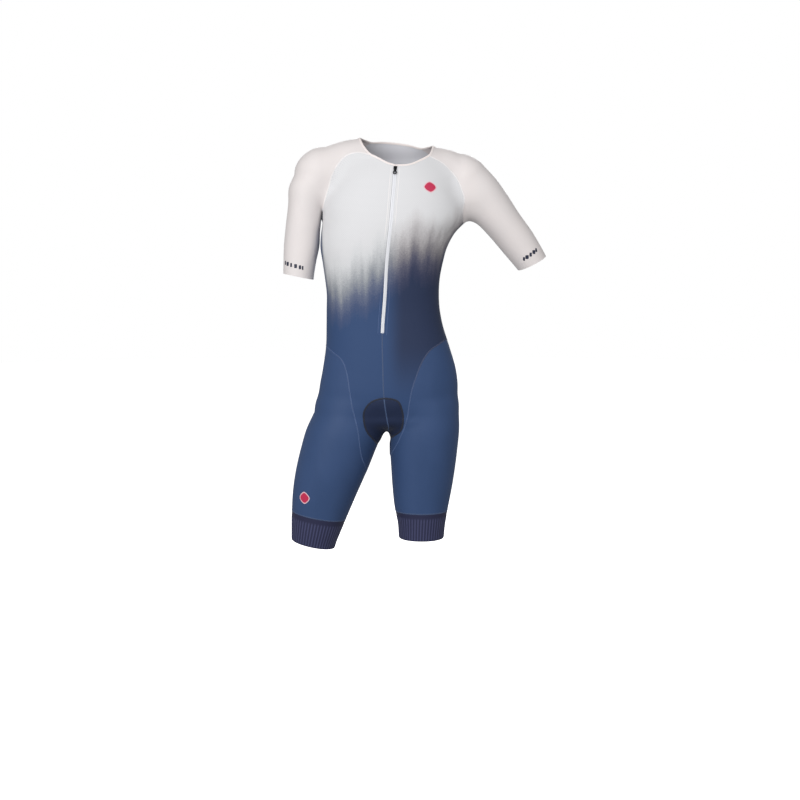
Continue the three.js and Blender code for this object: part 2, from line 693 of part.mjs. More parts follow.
function bandBody(side) {
  const { seam, hem } = BANDS[side];
  const ribbed = range(ROWS.band).map((i) => mix1(RIB_START + 0.02, 1, i / (ROWS.band - 1)));
  const heights = [0, RIB_START, ...ribbed];
  const outer = [];
  const inner = [];
  heights.forEach((height) => {
    const ring = {
      centre: mix(seam.centre, hem.centre, height),
      down: mix(unit(seam.down), unit(hem.down), height),
      first: seam.first,
    };
    if (height === 0) ring.centre = add(ring.centre, unit(ring.down), HALF_GAP);
    const raised = height > RIB_START ? RIB_HEIGHT : 0;
    const points = ringPoints(ring, 2 * RIBS, side === "right" ? -1 : 1);
    const ways = points.map((point) => unit(sub(point, ring.centre)));
    outer.push(points.map((point, j) => add(point, ways[j], j % 2 === 0 ? raised : 0)));
    inner.push(points.map((point, j) => add(point, ways[j], -CLOTH)));
  });
  return wall(outer, inner, true);
}

// Binding on the panels' neck edge, open at the zip
function bindingBody() {
  const nearMiddle = (from, to) => alongCurve(neckCurve, from, to, () => [BINDING_FROM_MIDDLE])[0];
  const ring = [
    nearMiddle(0, neckPlace("frontRight")),
    ...neckArcs.frontRight.filter((point, i) => i !== 1),
    ...neckArcs.shoulderRight.slice(1),
    ...neckArcs.back.slice(1),
    ...neckArcs.shoulderLeft.slice(1),
    ...[...neckArcs.frontLeft].reverse().slice(1).filter((point, i, list) => i !== list.length - 2),
    nearMiddle(neckPlace("end"), neckPlace("frontLeft")),
  ];
  const ways = ring.map((point) => outward(point));
  const ups = ring.map((point, i) => {
    const ahead = sub(ring[Math.min(i + 1, ring.length - 1)], ring[Math.max(i - 1, 0)]);
    const up = unit(cross(ways[i], ahead));
    return up[2] < 0 ? times(up, -1) : up;
  });
  const low = ring.map((point, i) => add(point, ups[i], HALF_GAP));
  const high = ring.map((point, i) => onto(add(point, ups[i], BINDING_HEIGHT)));
  const sheet = { points: [high, low], ways: [high.map((point) => outward(point)), ways] };
  return wall(moved(sheet, BINDING_PROUD), moved(sheet, -CLOTH - BINDING_PROUD), false);
}

// Zip tapes behind the front panels' edges, from the panels' own points
function tapeBody(side) {
  const sign = side === "right" ? -1 : 1;
  const panel = trimmed(fronts[side], false).points;
  const middleEdge = besideMiddle(sign, () => HALF_GAP);
  const slotEdge = besideMiddle(sign, () => ZIP_HALF_SLOT);
  const grid = range(ROWS.zip + 2).map((i) => (
    [middleEdge[i], i > ROWS.zip ? slotEdge[i] : panel[i][0], panel[i][1]]));
  grid[0] = grid[0].map((point, j) => add(point, unit(sub(grid[1][j], point)), TAPE_BELOW_NECK));
  const sheet = { points: grid, ways: grid.map((row) => row.map((point) => outward(point))) };
  const front = -CLOTH - LAYER_GAP;
  return wall(moved(sheet, front), moved(sheet, front - ZIP_TAPE_THICK), false);
}

// Pad inside the crotch, from the points of the three panels that meet there
function padBody() {
  const bottom = fronts.right.length - 1;
  const halfBack = FRONT_COLUMNS + 1;
  const sides = range(PAD_COLUMNS).map((i) => i + 1);
  const frontRow = (i) => [
    ...sides.map((j) => fronts.right[i][j]).reverse(),
    fronts.right[i][0],
    ...sides.map((j) => fronts.left[i][j]),
  ];
  const backRow = (i) => backGrid[i].slice(halfBack - PAD_COLUMNS, halfBack + PAD_COLUMNS + 1);
  const grid = [
    ...range(PAD_ROWS.front).map((i) => frontRow(bottom - PAD_ROWS.front + i)),
    ...range(PAD_ROWS.back + 1).map((i) => backRow(bottom - i)),
  ];
  const sheet = { points: grid, ways: grid.map((row) => row.map((point) => outward(point))) };
  const front = -CLOTH - 2 * LAYER_GAP;
  return wall(moved(sheet, front), moved(sheet, front - PAD_THICK), false);
}

// Where the slider sits on the zip: its middle, and the ways across, down and out
function sliderFrame() {
  const distances = [SLIDER_BELOW_NECK, SLIDER_BELOW_NECK + SLIDER.length / 2];
  const [start, place] = alongCurve(centreCurve, 0, zipEnd, () => distances);
  const out = outward(place);
  const ahead = sub(place, start);
  const down = unit(sub(ahead, times(out, dot(ahead, out))));
  return { place, across: cross(down, out), down, out };
}

const arc = (centre, radius, from, to, steps) => range(steps + 1).map((i) => {
  const angle = mix1(from, to, i / steps);
  return [centre[0] + radius * Math.cos(angle), centre[1] + radius * Math.sin(angle)];
});

// A flat plate with its holes, from z = 0 up to its thickness
function plate(outline, holes, thick) {
  const vectors = (list) => list.map(([x, y]) => new THREE.Vector2(x, y));
  const shape = new THREE.Shape(vectors(outline));
  shape.holes = holes.map((hole) => new THREE.Path(vectors(hole)));
  return new THREE.ExtrudeGeometry(shape, { depth: thick, bevelEnabled: false });
}

function solidOf(geometry) {
  geometry.deleteAttribute("normal");
  geometry.deleteAttribute("uv");
  const merged = mergeVertices(geometry, 1e-4);
  return new wasm.Manifold(new wasm.Mesh({
    numProp: 3,
    vertProperties: merged.attributes.position.array,
    triVerts: new Uint32Array(merged.index.array),
  }));
}

// A solid made in the slider's frame, taken to its place
function placedBody(solid, frame) {
  const mesh = solid.getMesh();
  const points = range(mesh.numVert).map((i) => {
    const [a, b, c] = mesh.position(i);
    return add(add(add(frame.place, frame.across, a), frame.down, b), frame.out, c);
  });
  return facingOut(points, range(mesh.numTri).map((i) => [...mesh.verts(i)]));
}

const pivotOut = SLIDER.front + BRIDGE.hole;

// A wedge block with an arched bridge along it, which carries the pull
function sliderSolid() {
  const { top, bottom, length, back, front, bridge } = SLIDER;
  const half = length / 2;
  const right = [[top - 1, -half], [top, 1 - half], [top, -0.5], [bottom, half - 1], [bottom - 1, half]];
  const left = right.map(([x, y]) => [-x, y]).reverse();
  const block = plate([...right, ...left], [], front - back).translate(0, 0, back);
  const radius = BRIDGE.hole + BRIDGE.wall;
  const foot = front - 0.3;
  const arch = [[-radius, foot], [radius, foot], ...arc([0, pivotOut], radius, 0, Math.PI, ARC_STEPS)];
  const hole = arc([0, pivotOut], BRIDGE.hole, 0, 2 * Math.PI, ARC_STEPS).slice(1);
  const loop = plate(arch, [hole], bridge)
    .translate(0, 0, -bridge / 2)
    .rotateX(Math.PI / 2)
    .rotateZ(Math.PI / 2);
  return solidOf(block).add(solidOf(loop));
}

// A flat tab with a window for the bridge at one end and a ring at the other
function pullSolid() {
  const { half, length, thick, bar, window, windowEnd, shoulder, stemStart, stem, ring, hole } = PULL;
  const join = Math.asin(stem / ring);
  const outline = [
    [-half, -bar], [half, -bar], [half, shoulder], [stem, stemStart],
    ...arc([0, length], ring, join - Math.PI / 2, 1.5 * Math.PI - join, ARC_STEPS),
    [-stem, stemStart], [-half, shoulder],
  ];
  const opening = [[-window, bar], [window, bar], [window, windowEnd], [-window, windowEnd]];
  const eye = arc([0, length], hole, 0, 2 * Math.PI, ARC_STEPS).slice(1);
  return solidOf(plate(outline, [opening, eye], thick).translate(0, 0, pivotOut - thick / 2));
}

const group = new THREE.Group();
const put = (name, body, colour, roughness) => group.add(meshOf(name, body, colour, roughness));

put("front_right", clothWall(trimmed(fronts.right, false)), COLOURS.front);
put("front_left", clothWall(trimmed(fronts.left, false)), COLOURS.front);
put("back", clothWall(trimmed(backGrid, false)), COLOURS.back);
["right", "left"].forEach((side) => {
  const leg = trimmed(legGrid(side), true, { [ROWS.leg]: BANDS[side].seam.down });
  put(`sleeve_${side}`, clothWall(trimmed(sleeveGrid(side), false)), COLOURS.sleeve);
  put(`leg_${side}`, clothWall(leg, true), COLOURS.leg);
  put(`leg_band_${side}`, bandBody(side), COLOURS.band);
  put(`zip_tape_${side}`, tapeBody(side), COLOURS.tape);
});
put("neck_binding", bindingBody(), COLOURS.binding);
put("seat_pad", padBody(), COLOURS.pad);
const frame = sliderFrame();
put("zip_slider", placedBody(sliderSolid(), frame), COLOURS.metal, 0.4);
put("zip_pull", placedBody(pullSolid(), frame), COLOURS.metal, 0.4);

export default group;
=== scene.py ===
# A short-sleeved one-piece triathlon suit in its worn, hollow form: stretch cloth shells with flat seams,
# ribbed leg bands, a zip with its slider and pull, a bound neck and a seat pad. The tables are in
# millimetres and the pieces in metres. +X is the wearer's left, -Y the front and +Z up.
import math

import bpy
import numpy as np
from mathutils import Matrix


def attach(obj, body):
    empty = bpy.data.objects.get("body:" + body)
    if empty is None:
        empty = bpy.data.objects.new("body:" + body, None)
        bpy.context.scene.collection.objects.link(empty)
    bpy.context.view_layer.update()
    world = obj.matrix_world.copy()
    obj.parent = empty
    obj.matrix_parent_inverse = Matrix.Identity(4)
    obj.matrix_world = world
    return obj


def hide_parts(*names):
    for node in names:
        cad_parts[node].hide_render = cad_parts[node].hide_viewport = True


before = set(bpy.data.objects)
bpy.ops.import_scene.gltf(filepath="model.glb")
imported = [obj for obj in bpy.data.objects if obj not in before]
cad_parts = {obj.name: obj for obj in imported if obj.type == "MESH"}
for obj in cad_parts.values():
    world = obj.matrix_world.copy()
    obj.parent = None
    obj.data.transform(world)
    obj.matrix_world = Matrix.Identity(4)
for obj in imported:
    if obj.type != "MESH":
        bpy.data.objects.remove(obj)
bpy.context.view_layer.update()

MM = 0.001

# Cloth: its wall, and how much finer the shells' grids are than the panels' first ones
CLOTH = 1.0
DETAIL = 5

# Zip
HALF_SLOT = 5
HALF_TAPE = 11
TAPE_FRONT = -1.35
TAPE_THICK = 0.5
TAPE_BELOW_NECK = 1.2
ZIP_END_STEP = 4
TOOTH_PITCH = 1.5

# Trim
BINDING_FROM_MIDDLE = 0.8
SEAM_HALF = 1.5
LADDER_PITCH = 1.7
STITCH_PITCH = 2.8
STITCH_LENGTH = 2.1

# Leg bands
RIBS = 54
RIB_HEIGHT = 0.7
RIB_START = 0.17
RIB_POINTS = 8
BAND_ROWS = 26

# Seat pad
PAD_THICK = 5
PAD_COLUMNS = 3
PAD_ROWS = {"front": 5, "back": 4}
PAD_RIM_THICK = 1.2
PAD_GAP = 1.0
PAD_MOST_RISE = 0.6
PAD_CHANNEL_DEPTH = 2.2
PAD_CHANNEL_HALF = 0.13

# Step of a search on a line from inside the form, finer than the gap between sleeve and trunk, its most
# steps, and how often the last step is halved
OUT_STEP = 0.8
OUT_STEPS = 200
HALVINGS = 22

# Moves onto the form
NEAR_ENOUGH = 1e-3
LEAST_SLOPE = 0.2
LONGEST_MOVE = 15
SLOPE_STEP = 0.4
CLOSE_ROUNDS = 12
CURVE_POINTS = 161

# Grid sizes of the panels before they are made finer
FRONT_COLUMNS = 7
SLEEVE_COLUMNS = 20
SPREAD_ROUNDS = 20
SLEEVE_ROUNDS = 4
PANEL_ROW_WEIGHT = 0.8
LEG_ROW_WEIGHT = 0.16
SLEEVE_ROW_WEIGHT = 0.75
RAGLAN, SIDE, HIP, ZIP, ARM, LEG = 8, 9, 12, 16, 9, 12

# Sections: the place along the axis, the centre across and deep, the half width, and the half depths in
# front of and behind the centre
UPRIGHT = dict(origin=(0, 0, 0), along=(0, 0, 1), across=(1, 0, 0))
TORSO = dict(UPRIGHT, power=2.35, low_cap=34, high_cap=22, rows=[
    (-646, -20, 0, 150, 84, 108),
    (-620, -20, 0, 166, 96, 119),
    (-597, -19, 0, 169, 100, 121),
    (-533, -16.5, 0, 162, 102, 112),
    (-484, -20, 0, 151, 101, 98),
    (-426, -28, 0, 141, 98, 86),
    (-392, -31, 0, 137.5, 97, 82),
    (-351, -32, 0, 136, 99, 83),
    (-315, -33, 0, 139, 102, 87),
    (-278, -32, 0, 145, 107, 92),
    (-239, -29.2, 0, 153.2, 112, 98),
    (-208, -20, 0, 160.5, 115, 102),
    (-185, -9.7, 0, 167.7, 116, 104),
    (-140, -6, 0, 168, 111, 105),
    (-100, -5, 0, 152, 101, 101),
    (-60, -4, 0, 122, 86, 89),
    (-34, -3, 0, 92, 68, 74),
])
GIRDLE = dict(origin=(0, 0, 0), along=(1, 0, 0), across=(0, 0, 1), power=2.0, low_cap=40, high_cap=38, rows=[
    (-172, -50, 4, 42, 46, 46),
    (-146, -46, 4, 52, 50, 50),
    (-100, -39, 6, 56, 56, 56),
    (-50, -33, 8, 53, 58, 58),
    (0, -36, 10, 50, 60, 60),
    (50, -44, 8, 53, 58, 58),
    (100, -58, 6, 55, 56, 56),
    (136, -68, 4, 57, 51, 51),
    (156, -77, 4, 58, 46, 46),
])
NECK = dict(origin=(0, 8, 0), along=(0, 0, 1), across=(1, 0, 0), power=2.0, low_cap=10, high_cap=10, rows=[
    (-60, 0, 0, 74, 66, 60),
    (-20, 0, 0, 66, 62, 56),
    (20, 0, 0, 60, 58, 54),
    (70, 0, 0, 56, 56, 54),
])
ARM_RIGHT = dict(UPRIGHT, power=2.0, low_cap=30, high_cap=49, rows=[
    (-340, -238, 0, 36, 40, 40),
    (-311, -236.5, 0, 36.8, 42, 42),
    (-275, -233, 0, 39.3, 44, 44),
    (-239, -228.5, 0, 42.5, 46, 46),
    (-197, -225, 0, 41.8, 49, 49),
    (-137, -216, 0, 43.5, 53, 53),
    (-95, -204.5, 0, 52, 56, 56),
    (-67, -188, 2, 55.5, 56, 56),
])
ARM_LEFT = dict(origin=(172, 0, -76), along=(158, 24, -203), across=(203, 0, 158), power=2.0,
                low_cap=46, high_cap=30, rows=[
    (0, 0, 2, 49, 53, 53),
    (40, 2, 0, 51, 54, 54),
    (90, 2.5, 0, 49.5, 52, 52),
    (140, 3.5, 0, 45, 49, 49),
    (200, 4.5, 0, 42.5, 45, 45),
    (259, 2.5, 0, 37.5, 41, 41),
    (290, 0, 0, 35, 39, 39),
])
LEG_RIGHT = dict(UPRIGHT, power=2.1, low_cap=20, high_cap=60, rows=[
    (-1010, -209, 4, 52, 56, 58),
    (-969, -204.5, 4, 55, 59, 61),
    (-943, -199, 3, 60, 63, 65),
    (-887, -186.5, 2, 71.5, 70, 74),
    (-855, -179, 1, 77.5, 75, 80),
    (-785, -159, 0, 88, 85, 92),
    (-730, -141.5, 0, 92.5, 90, 102),
    (-683, -124.5, 0, 95.5, 92, 108),
    (-640, -112, 0, 88, 88, 108),
])
LEG_LEFT = dict(UPRIGHT, power=2.1, low_cap=20, high_cap=60, rows=[
    (-1000, 63, 0, 52, 55, 57),
    (-952, 62.5, 0, 55.5, 59, 61),
    (-920, 63, 0, 58, 62, 64),
    (-873, 62.5, 0, 67, 67, 70),
    (-827, 64.5, 0, 73.5, 74, 79),
    (-781, 66.5, 0, 78.5, 80, 88),
    (-735, 68, 0, 82.5, 86, 98),
    (-683, 71, 0, 84, 90, 106),
    (-640, 72, 0, 82, 88, 108),
])

# Reach of the soft joins between the sections. An arm's goes from one reach to another over two heights.
TRUNK_JOIN = 40
LEG_JOIN = 22
ARM_JOINS = {"right": ((1, 44), (-166, -112)), "left": ((52, 22), (-140, -70))}

# Seam points, brought onto the form before use. The ring goes from the zip over the right shoulder, the
# back and the left shoulder to the zip again.
NECK_RING = [
    (-1, -84, -54), (-20, -80, -48), (-43, -71, -36), (-63, -62, -25), (-77, -47, -8), (-88, -20, 12),
    (-91, 8, 22), (-84, 34, 23), (-66, 53, 15), (-35, 64, 13), (0, 68, 10), (35, 64, 5), (66, 53, -1),
    (84, 34, 2), (92, 8, 0), (91, -18, -5), (80, -52, -28), (60, -66, -40), (33, -80, -51), (-1, -84, -54),
]
NECK_CORNERS = dict(front_right=3, back_right=8, back_left=12, front_left=16, end=19)
CENTRE = [
    (-1, -84, -54), (-6, -102, -115), (-11, -116, -177), (-21, -108, -270), (-26, -99, -357),
    (-32, -99, -442), (-31, -100, -520), (-28, -100, -599), (-23, -92, -640), (-19, -78, -661),
    (-18, -40, -681), (-19, 0, -683),
]
ZIP_BOTTOM = 5
SEAMS = {
    "right": dict(
        raglan_front=[(-63, -62, -25), (-82, -52, -20), (-101, -46, -19), (-118, -46, -27), (-132, -48, -40),
                      (-147, -51, -60), (-156, -47, -85), (-162, -41, -113), (-171, -36, -138),
                      (-178, 0, -160)],
        raglan_back=[(-66, 53, 15), (-90, 58, 5), (-115, 62, -20), (-138, 62, -55), (-152, 58, -95),
                     (-166, 42, -132), (-178, 0, -160)],
        side=[(-178, 0, -160), (-177, 3, -178), (-180, 5, -204), (-182, 8, -240), (-175, 10, -278),
              (-170, 10, -336), (-169, 10, -390), (-170, 8, -430), (-172, 4, -476)],
        hip_front=[(-172, 4, -476), (-163, -41, -482), (-148, -64, -493), (-131, -77, -505),
                   (-123, -83, -518), (-117, -86, -538), (-113, -89, -563), (-108, -90, -593),
                   (-102, -90, -633), (-95, -88, -655), (-89, -81, -701), (-86, -60, -745), (-82, -34, -770),
                   (-84, -5, -787)],
        hip_back=[(-172, 4, -476), (-167, 40, -496), (-154, 74, -522), (-141, 95, -556), (-130, 108, -600),
                  (-120, 112, -650), (-110, 104, -700), (-100, 82, -742), (-90, 42, -772), (-84, -5, -787)],
        inseam=[(-19, 0, -683), (-38, -2, -706), (-55, -3, -730), (-70, -4, -757), (-84, -5, -787)]),
    "left": dict(
        raglan_front=[(80, -52, -28), (93, -48, -34), (121, -50, -53), (144, -52, -79), (158, -52, -112),
                      (163, -49, -138), (159, -47, -156), (156, -38, -172), (160, 0, -184)],
        raglan_back=[(66, 53, -1), (90, 58, -15), (113, 62, -40), (134, 62, -75), (150, 60, -115),
                     (158, 48, -155), (160, 0, -184)],
        side=[(160, 0, -184), (147, 4, -197), (136, 6, -212), (124, 8, -239), (113, 8, -278), (106, 10, -315),
              (105, 10, -351), (107, 10, -392), (115, 8, -432), (126, 4, -463)],
        hip_front=[(126, 4, -463), (121, -26, -461), (101, -64, -472), (74, -86, -491), (56, -95, -525),
                   (46, -98, -553), (38, -98, -578), (32, -96, -610), (28, -87, -641), (19, -73, -674),
                   (11, -62, -697), (2, -49, -721), (-8, -5, -748)],
        hip_back=[(126, 4, -463), (122, 40, -482), (106, 74, -508), (90, 95, -542), (77, 107, -586),
                  (66, 112, -636), (52, 106, -684), (34, 88, -718), (8, 46, -740), (-8, -5, -748)],
        inseam=[(-19, 0, -683), (-15, -2, -700), (-11, -4, -720), (-8, -5, -748)]),
}
SIGN = {"right": -1, "left": 1}
ARM_PITS = {
    "right": dict(centre=(-221, 0, -160), down=(-0.25, 0, -0.97)),
    "left": dict(centre=(205, 6, -125), down=(0.75, 0, -0.66)),
}
CUFFS = {
    "right": dict(centre=(-236.5, 0, -311), down=(-0.2, 0, -0.98)),
    "left": dict(centre=(330, 24, -279), down=(0.47, 0.1, -0.88)),
}
BANDS = {
    "right": dict(seam=dict(centre=(-189, 2, -896), down=(-0.18, 0, -0.98), first=(-1, 0, 0)),
                  hem=dict(centre=(-204.5, 4, -969), down=(-0.21, 0, -0.98), first=(-1, 0, 0))),
    "left": dict(seam=dict(centre=(65.5, 0, -884), down=(0, 0, -1), first=(1, 0, 0)),
                 hem=dict(centre=(62.5, 0, -953), down=(0, 0, -1), first=(1, 0, 0))),
}

# The pad's outline seen on the cloth, a closed loop from the front over the inner thighs to the seat
PAD_RING = [
    (-28, -100, -598), (3, -99, -604), (14, -93, -626), (17, -84, -651), (14, -72, -672), (7, -59, -685),
    (-7, -27, -700), (-9, 12, -708), (-4, 52, -702), (6, 92, -676), (8, 112, -644), (-6, 120, -618),
    (-24, 121, -610), (-44, 120, -618), (-60, 112, -644), (-60, 92, -678), (-52, 52, -708), (-48, 12, -718),
    (-51, -25, -714), (-59, -57, -698), (-71, -75, -679), (-77, -86, -648), (-74, -92, -626),
    (-57, -98, -606),
]
PAD_BULGE = 1.3
PAD_GROOVE = 0.4
PAD_MIDDLE = (-24, 4, -655)
PAD_REACH = 170
PAD_TURN_HEIGHT = -600
PAD_TURN_RADIUS = 100

# Creases: start and end, depth (a ridge below zero) and half width, and the shares of the length over
# which every crease comes and goes
CREASE_COMES = (-0.15, 0.3)
CREASE_GOES = (-1.15, -0.7)
CREASES = [
    # right armpit
    ((-174, -28, -158), (-160, -56, -122), 0.9, 4.5),
    ((-172, -34, -170), (-147, -76, -170), 0.8, 5.5),
    ((-175, -26, -182), (-160, -64, -214), 0.7, 6),
    ((-173, 30, -166), (-142, 74, -188), 0.9, 7),
    ((-176, 26, -184), (-160, 66, -226), 0.7, 7),
    # left armpit and the raised arm's underside
    ((157, -30, -188), (138, -72, -172), 0.8, 6),
    ((152, -28, -198), (122, -82, -214), 0.7, 7),
    ((168, -26, -188), (204, -34, -206), 0.8, 6),
    ((152, 36, -194), (122, 78, -214), 0.9, 7),
    ((166, 34, -190), (202, 40, -204), 0.8, 7),
    # waist
    ((104, -44, -352), (58, -92, -364), 0.7, 6),
    ((106, -30, -372), (74, -84, -386), -0.5, 6),
    ((-166, -30, -352), (-128, -82, -362), 0.5, 7),
    ((-120, 66, -402), (-34, 84, -414), 0.9, 9),
    ((-18, 84, -396), (76, 68, -386), 0.8, 10),
    ((-92, 80, -374), (10, 86, -366), 0.6, 8),
    ((-62, 84, -430), (42, 88, -436), 0.5, 9),
    # crotch and groin
    ((-30, -92, -640), (-70, -94, -612), 0.6, 6),
    ((-12, -88, -646), (22, -96, -612), 0.6, 6),
    ((-70, -76, -674), (-106, -92, -640), 0.9, 7),
    ((14, -72, -676), (48, -94, -634), 0.9, 7),
    ((-76, -66, -706), (-112, -90, -690), 0.6, 7),
    # seat
    ((-24, 118, -540), (-20, 104, -664), 2.2, 13),
    ((-126, 98, -694), (-62, 104, -720), 1.5, 9),
    ((18, 90, -716), (94, 98, -692), 1.4, 9),
    # spine and shoulder blades
    ((-6, 100, -110), (-26, 84, -384), 1.8, 20),
    ((-96, 84, -84), (-64, 104, -180), -1.4, 26),
    ((78, 84, -96), (46, 104, -188), -1.4, 26),
    # backs of the knees
    ((-206, 60, -846), (-150, 70, -858), 0.6, 7),
    ((36, 62, -838), (96, 62, -846), 0.6, 7),
]

# Marks: centre, half width and half height
CHEST_MARK = ((80, -90, -102), 16.5, 14.5)
THIGH_MARK = ((-222.6, -64, -843.5), 15.5, 15)
MARK_RIM = 2.6
HEM_MARKS = {
    "right": dict(start=(-265, -22, -277), end=(-222, -40, -290.5), widths=(6, 8, 5, 7, 5.5, 4)),
    "left": dict(start=(306, -18, -270), end=(340, -14, -245.5), widths=(5, 8, 6, 8, 5.5)),
}
HEM_MARK_HEIGHT = 9.5

# Camera: the photograph's view
CAMERA_PLACE = (0.0096, -3.0, -0.2814)
CAMERA_PITCH = 6.29
CAMERA_LENS = 55.4
CAMERA_SENSOR = 36

# Studio, in metres and watts: place, size and power of each light
FLOOR = -1.568
FLOOR_RADIUS = 14
FLOOR_CORNERS = 96
ROOM_LIGHT = 0.33
LIGHTS_AIM = (0, 0, -0.45)
LIGHTS = {
    "key": ((-1.6, -3.0, 0.7), 1.9, 76),
    "fill": ((1.5, -3.0, 1.0), 1.9, 30),
    "back": ((0.2, 3.4, 0.8), 2.0, 70),
}


def unit(v):
    v = np.asarray(v, float)
    return v / np.maximum(np.linalg.norm(v, axis=-1, keepdims=True), 1e-12)


def smooth_step(x, low, high):
    t = np.clip((x - low) / (high - low), 0, 1)
    return t * t * (3 - 2 * t)


class Table:
    """Rows that start with a rising number, read smoothly at any number between."""

    def __init__(self, rows):
        rows = np.array(rows, float)
        self.at = rows[:, 0]
        self.values = rows[:, 1:]
        step = np.diff(self.at)[:, None]
        chord = np.diff(self.values, axis=0) / step
        inner = (chord[:-1] * step[1:] + chord[1:] * step[:-1]) / (step[1:] + step[:-1])
        self.slopes = np.concatenate([chord[:1], inner, chord[-1:]])

    def read(self, x):
        x = np.atleast_1d(x)
        i = np.clip(np.searchsorted(self.at, x) - 1, 0, len(self.at) - 2)
        step = (self.at[i + 1] - self.at[i])[:, None]
        t = (x - self.at[i])[:, None] / step
        a, b = self.values[i], self.values[i + 1]
        u, v = self.slopes[i] * step, self.slopes[i + 1] * step
        return ((2 * t**3 - 3 * t**2 + 1) * a + (t**3 - 2 * t**2 + t) * u
                + (3 * t**2 - 2 * t**3) * b + (t**3 - t**2) * v)


class Tube:
    """Sections along a straight axis."""

    def __init__(self, sections):
        self.origin = np.array(sections["origin"], float)
        self.along = unit(sections["along"])
        self.across = unit(sections["across"])
        side = np.cross(self.along, self.across)
        self.deep = side if side[1] > 0 else -side
        self.table = Table(sections["rows"])
        self.power = sections["power"]
        self.caps = sections["low_cap"], sections["high_cap"]

    def outside(self, points):
        """How far points lie outside the tube, below zero inside it."""
        place = points - self.origin
        at = place @ self.along
        held = np.clip(at, self.table.at[0], self.table.at[-1])
        across, deep, half, front, back = self.table.read(held).T
        a = place @ self.across - across
        b = place @ self.deep - deep
        c = at - held
        depth = np.where(b < 0, front, back)
        cap = np.where(c < 0, *self.caps)
        n = self.power
        share = (np.abs(a / half)**n + np.abs(b / depth)**n + np.abs(c / cap)**n)**(1 / n)
        far = np.sqrt(a * a + b * b + c * c)
        return far - far / np.maximum(share, 1e-6)


torso, girdle, neck, arm_right, arm_left, leg_right, leg_left = (
    Tube(sections) for sections in (TORSO, GIRDLE, NECK, ARM_RIGHT, ARM_LEFT, LEG_RIGHT, LEG_LEFT))


def soft_least(a, b, reach):
    share = np.maximum(reach - np.abs(a - b), 0) / reach
    return np.minimum(a, b) - share * share * reach / 4


def arm_join(side, z):
    (low, high), heights = ARM_JOINS[side]
    return low + (high - low) * smooth_step(z, *heights)


def form(points):
    """Zero on the suit's outer form, below zero inside it."""
    z = points[:, 2]
    value = soft_least(torso.outside(points), girdle.outside(points), TRUNK_JOIN)
    value = soft_least(value, neck.outside(points), TRUNK_JOIN)
    value = soft_least(value, arm_right.outside(points), arm_join("right", z))
    value = soft_least(value, arm_left.outside(points), arm_join("left", z))
    value = soft_least(value, leg_right.outside(points), LEG_JOIN)
    return soft_least(value, leg_left.outside(points), LEG_JOIN)


def slope_of(points):
    return np.stack([(form(points + step) - form(points - step)) / (2 * SLOPE_STEP)
                     for step in np.eye(3) * SLOPE_STEP], 1)


def outward(points):
    points = np.asarray(points, float)
    return unit(slope_of(points.reshape(-1, 3))).reshape(points.shape)


def onto(points, rounds=8):
    """The points of the form near given points."""
    points = np.array(points, float)
    flat = points.reshape(-1, 3)
    for _ in range(rounds):
        value = form(flat)
        if np.abs(value).max() < NEAR_ENOUGH:
            break
        slope = slope_of(flat)
        move = slope * (value / np.maximum((slope * slope).sum(1), LEAST_SLOPE))[:, None]
        far = np.linalg.norm(move, axis=1, keepdims=True)
        flat -= move * np.minimum(1, LONGEST_MOVE / np.maximum(far, 1e-9))
    return flat.reshape(points.shape)


def lengths(points):
    return np.concatenate([[0], np.cumsum(np.linalg.norm(np.diff(points, axis=0), axis=1))])


def curve_through(points):
    points = np.array(points, float)
    return Table(np.column_stack([lengths(points), points]))


def along_curve(curve, start, end, steps):
    """Points of the form along a curve, at equal steps or at distances worked out from its length."""
    fine = curve.read(np.linspace(start, end, CURVE_POINTS))
    far = lengths(fine)
    wanted = steps(far[-1]) if callable(steps) else np.linspace(0, far[-1], steps + 1)
    return onto(np.column_stack([np.interp(wanted, far, fine[:, k]) for k in range(3)]), CLOSE_ROUNDS)


def whole_curve(points, steps):
    curve = curve_through(points)
    return along_curve(curve, 0, curve.at[-1], steps)


def from_middle(edge):
    """Distances from the middle: the edge, the tape's width, then equal steps to the end."""
    return lambda total: np.concatenate([[edge], np.linspace(HALF_TAPE, total, FRONT_COLUMNS + 1)])


def first_out(starts, ways):
    """The first points of the form on straight lines from inside it."""
    starts = np.broadcast_to(np.asarray(starts, float), ways.shape)
    near = np.zeros(len(ways))
    inside = np.ones(len(ways), bool)
    for far in np.arange(1, OUT_STEPS) * OUT_STEP:
        inside &= form(starts + ways * far) < 0
        near[inside] = far
        if not inside.any():
            break
    far = near + OUT_STEP
    for _ in range(HALVINGS):
        middle = (near + far) / 2
        is_in = form(starts + ways * middle[:, None]) < 0
        near = np.where(is_in, middle, near)
        far = np.where(is_in, far, middle)
    return starts + ways * near[:, None]


def ring_points(centre, down, first, count, turn):
    down = unit(down)
    first = unit(np.array(first, float) - down * np.dot(first, down))
    side = np.cross(down, first) * turn
    angle = np.linspace(0, 2 * np.pi, count, endpoint=False)[:, None]
    return first_out(centre, np.cos(angle) * first + np.sin(angle) * side)


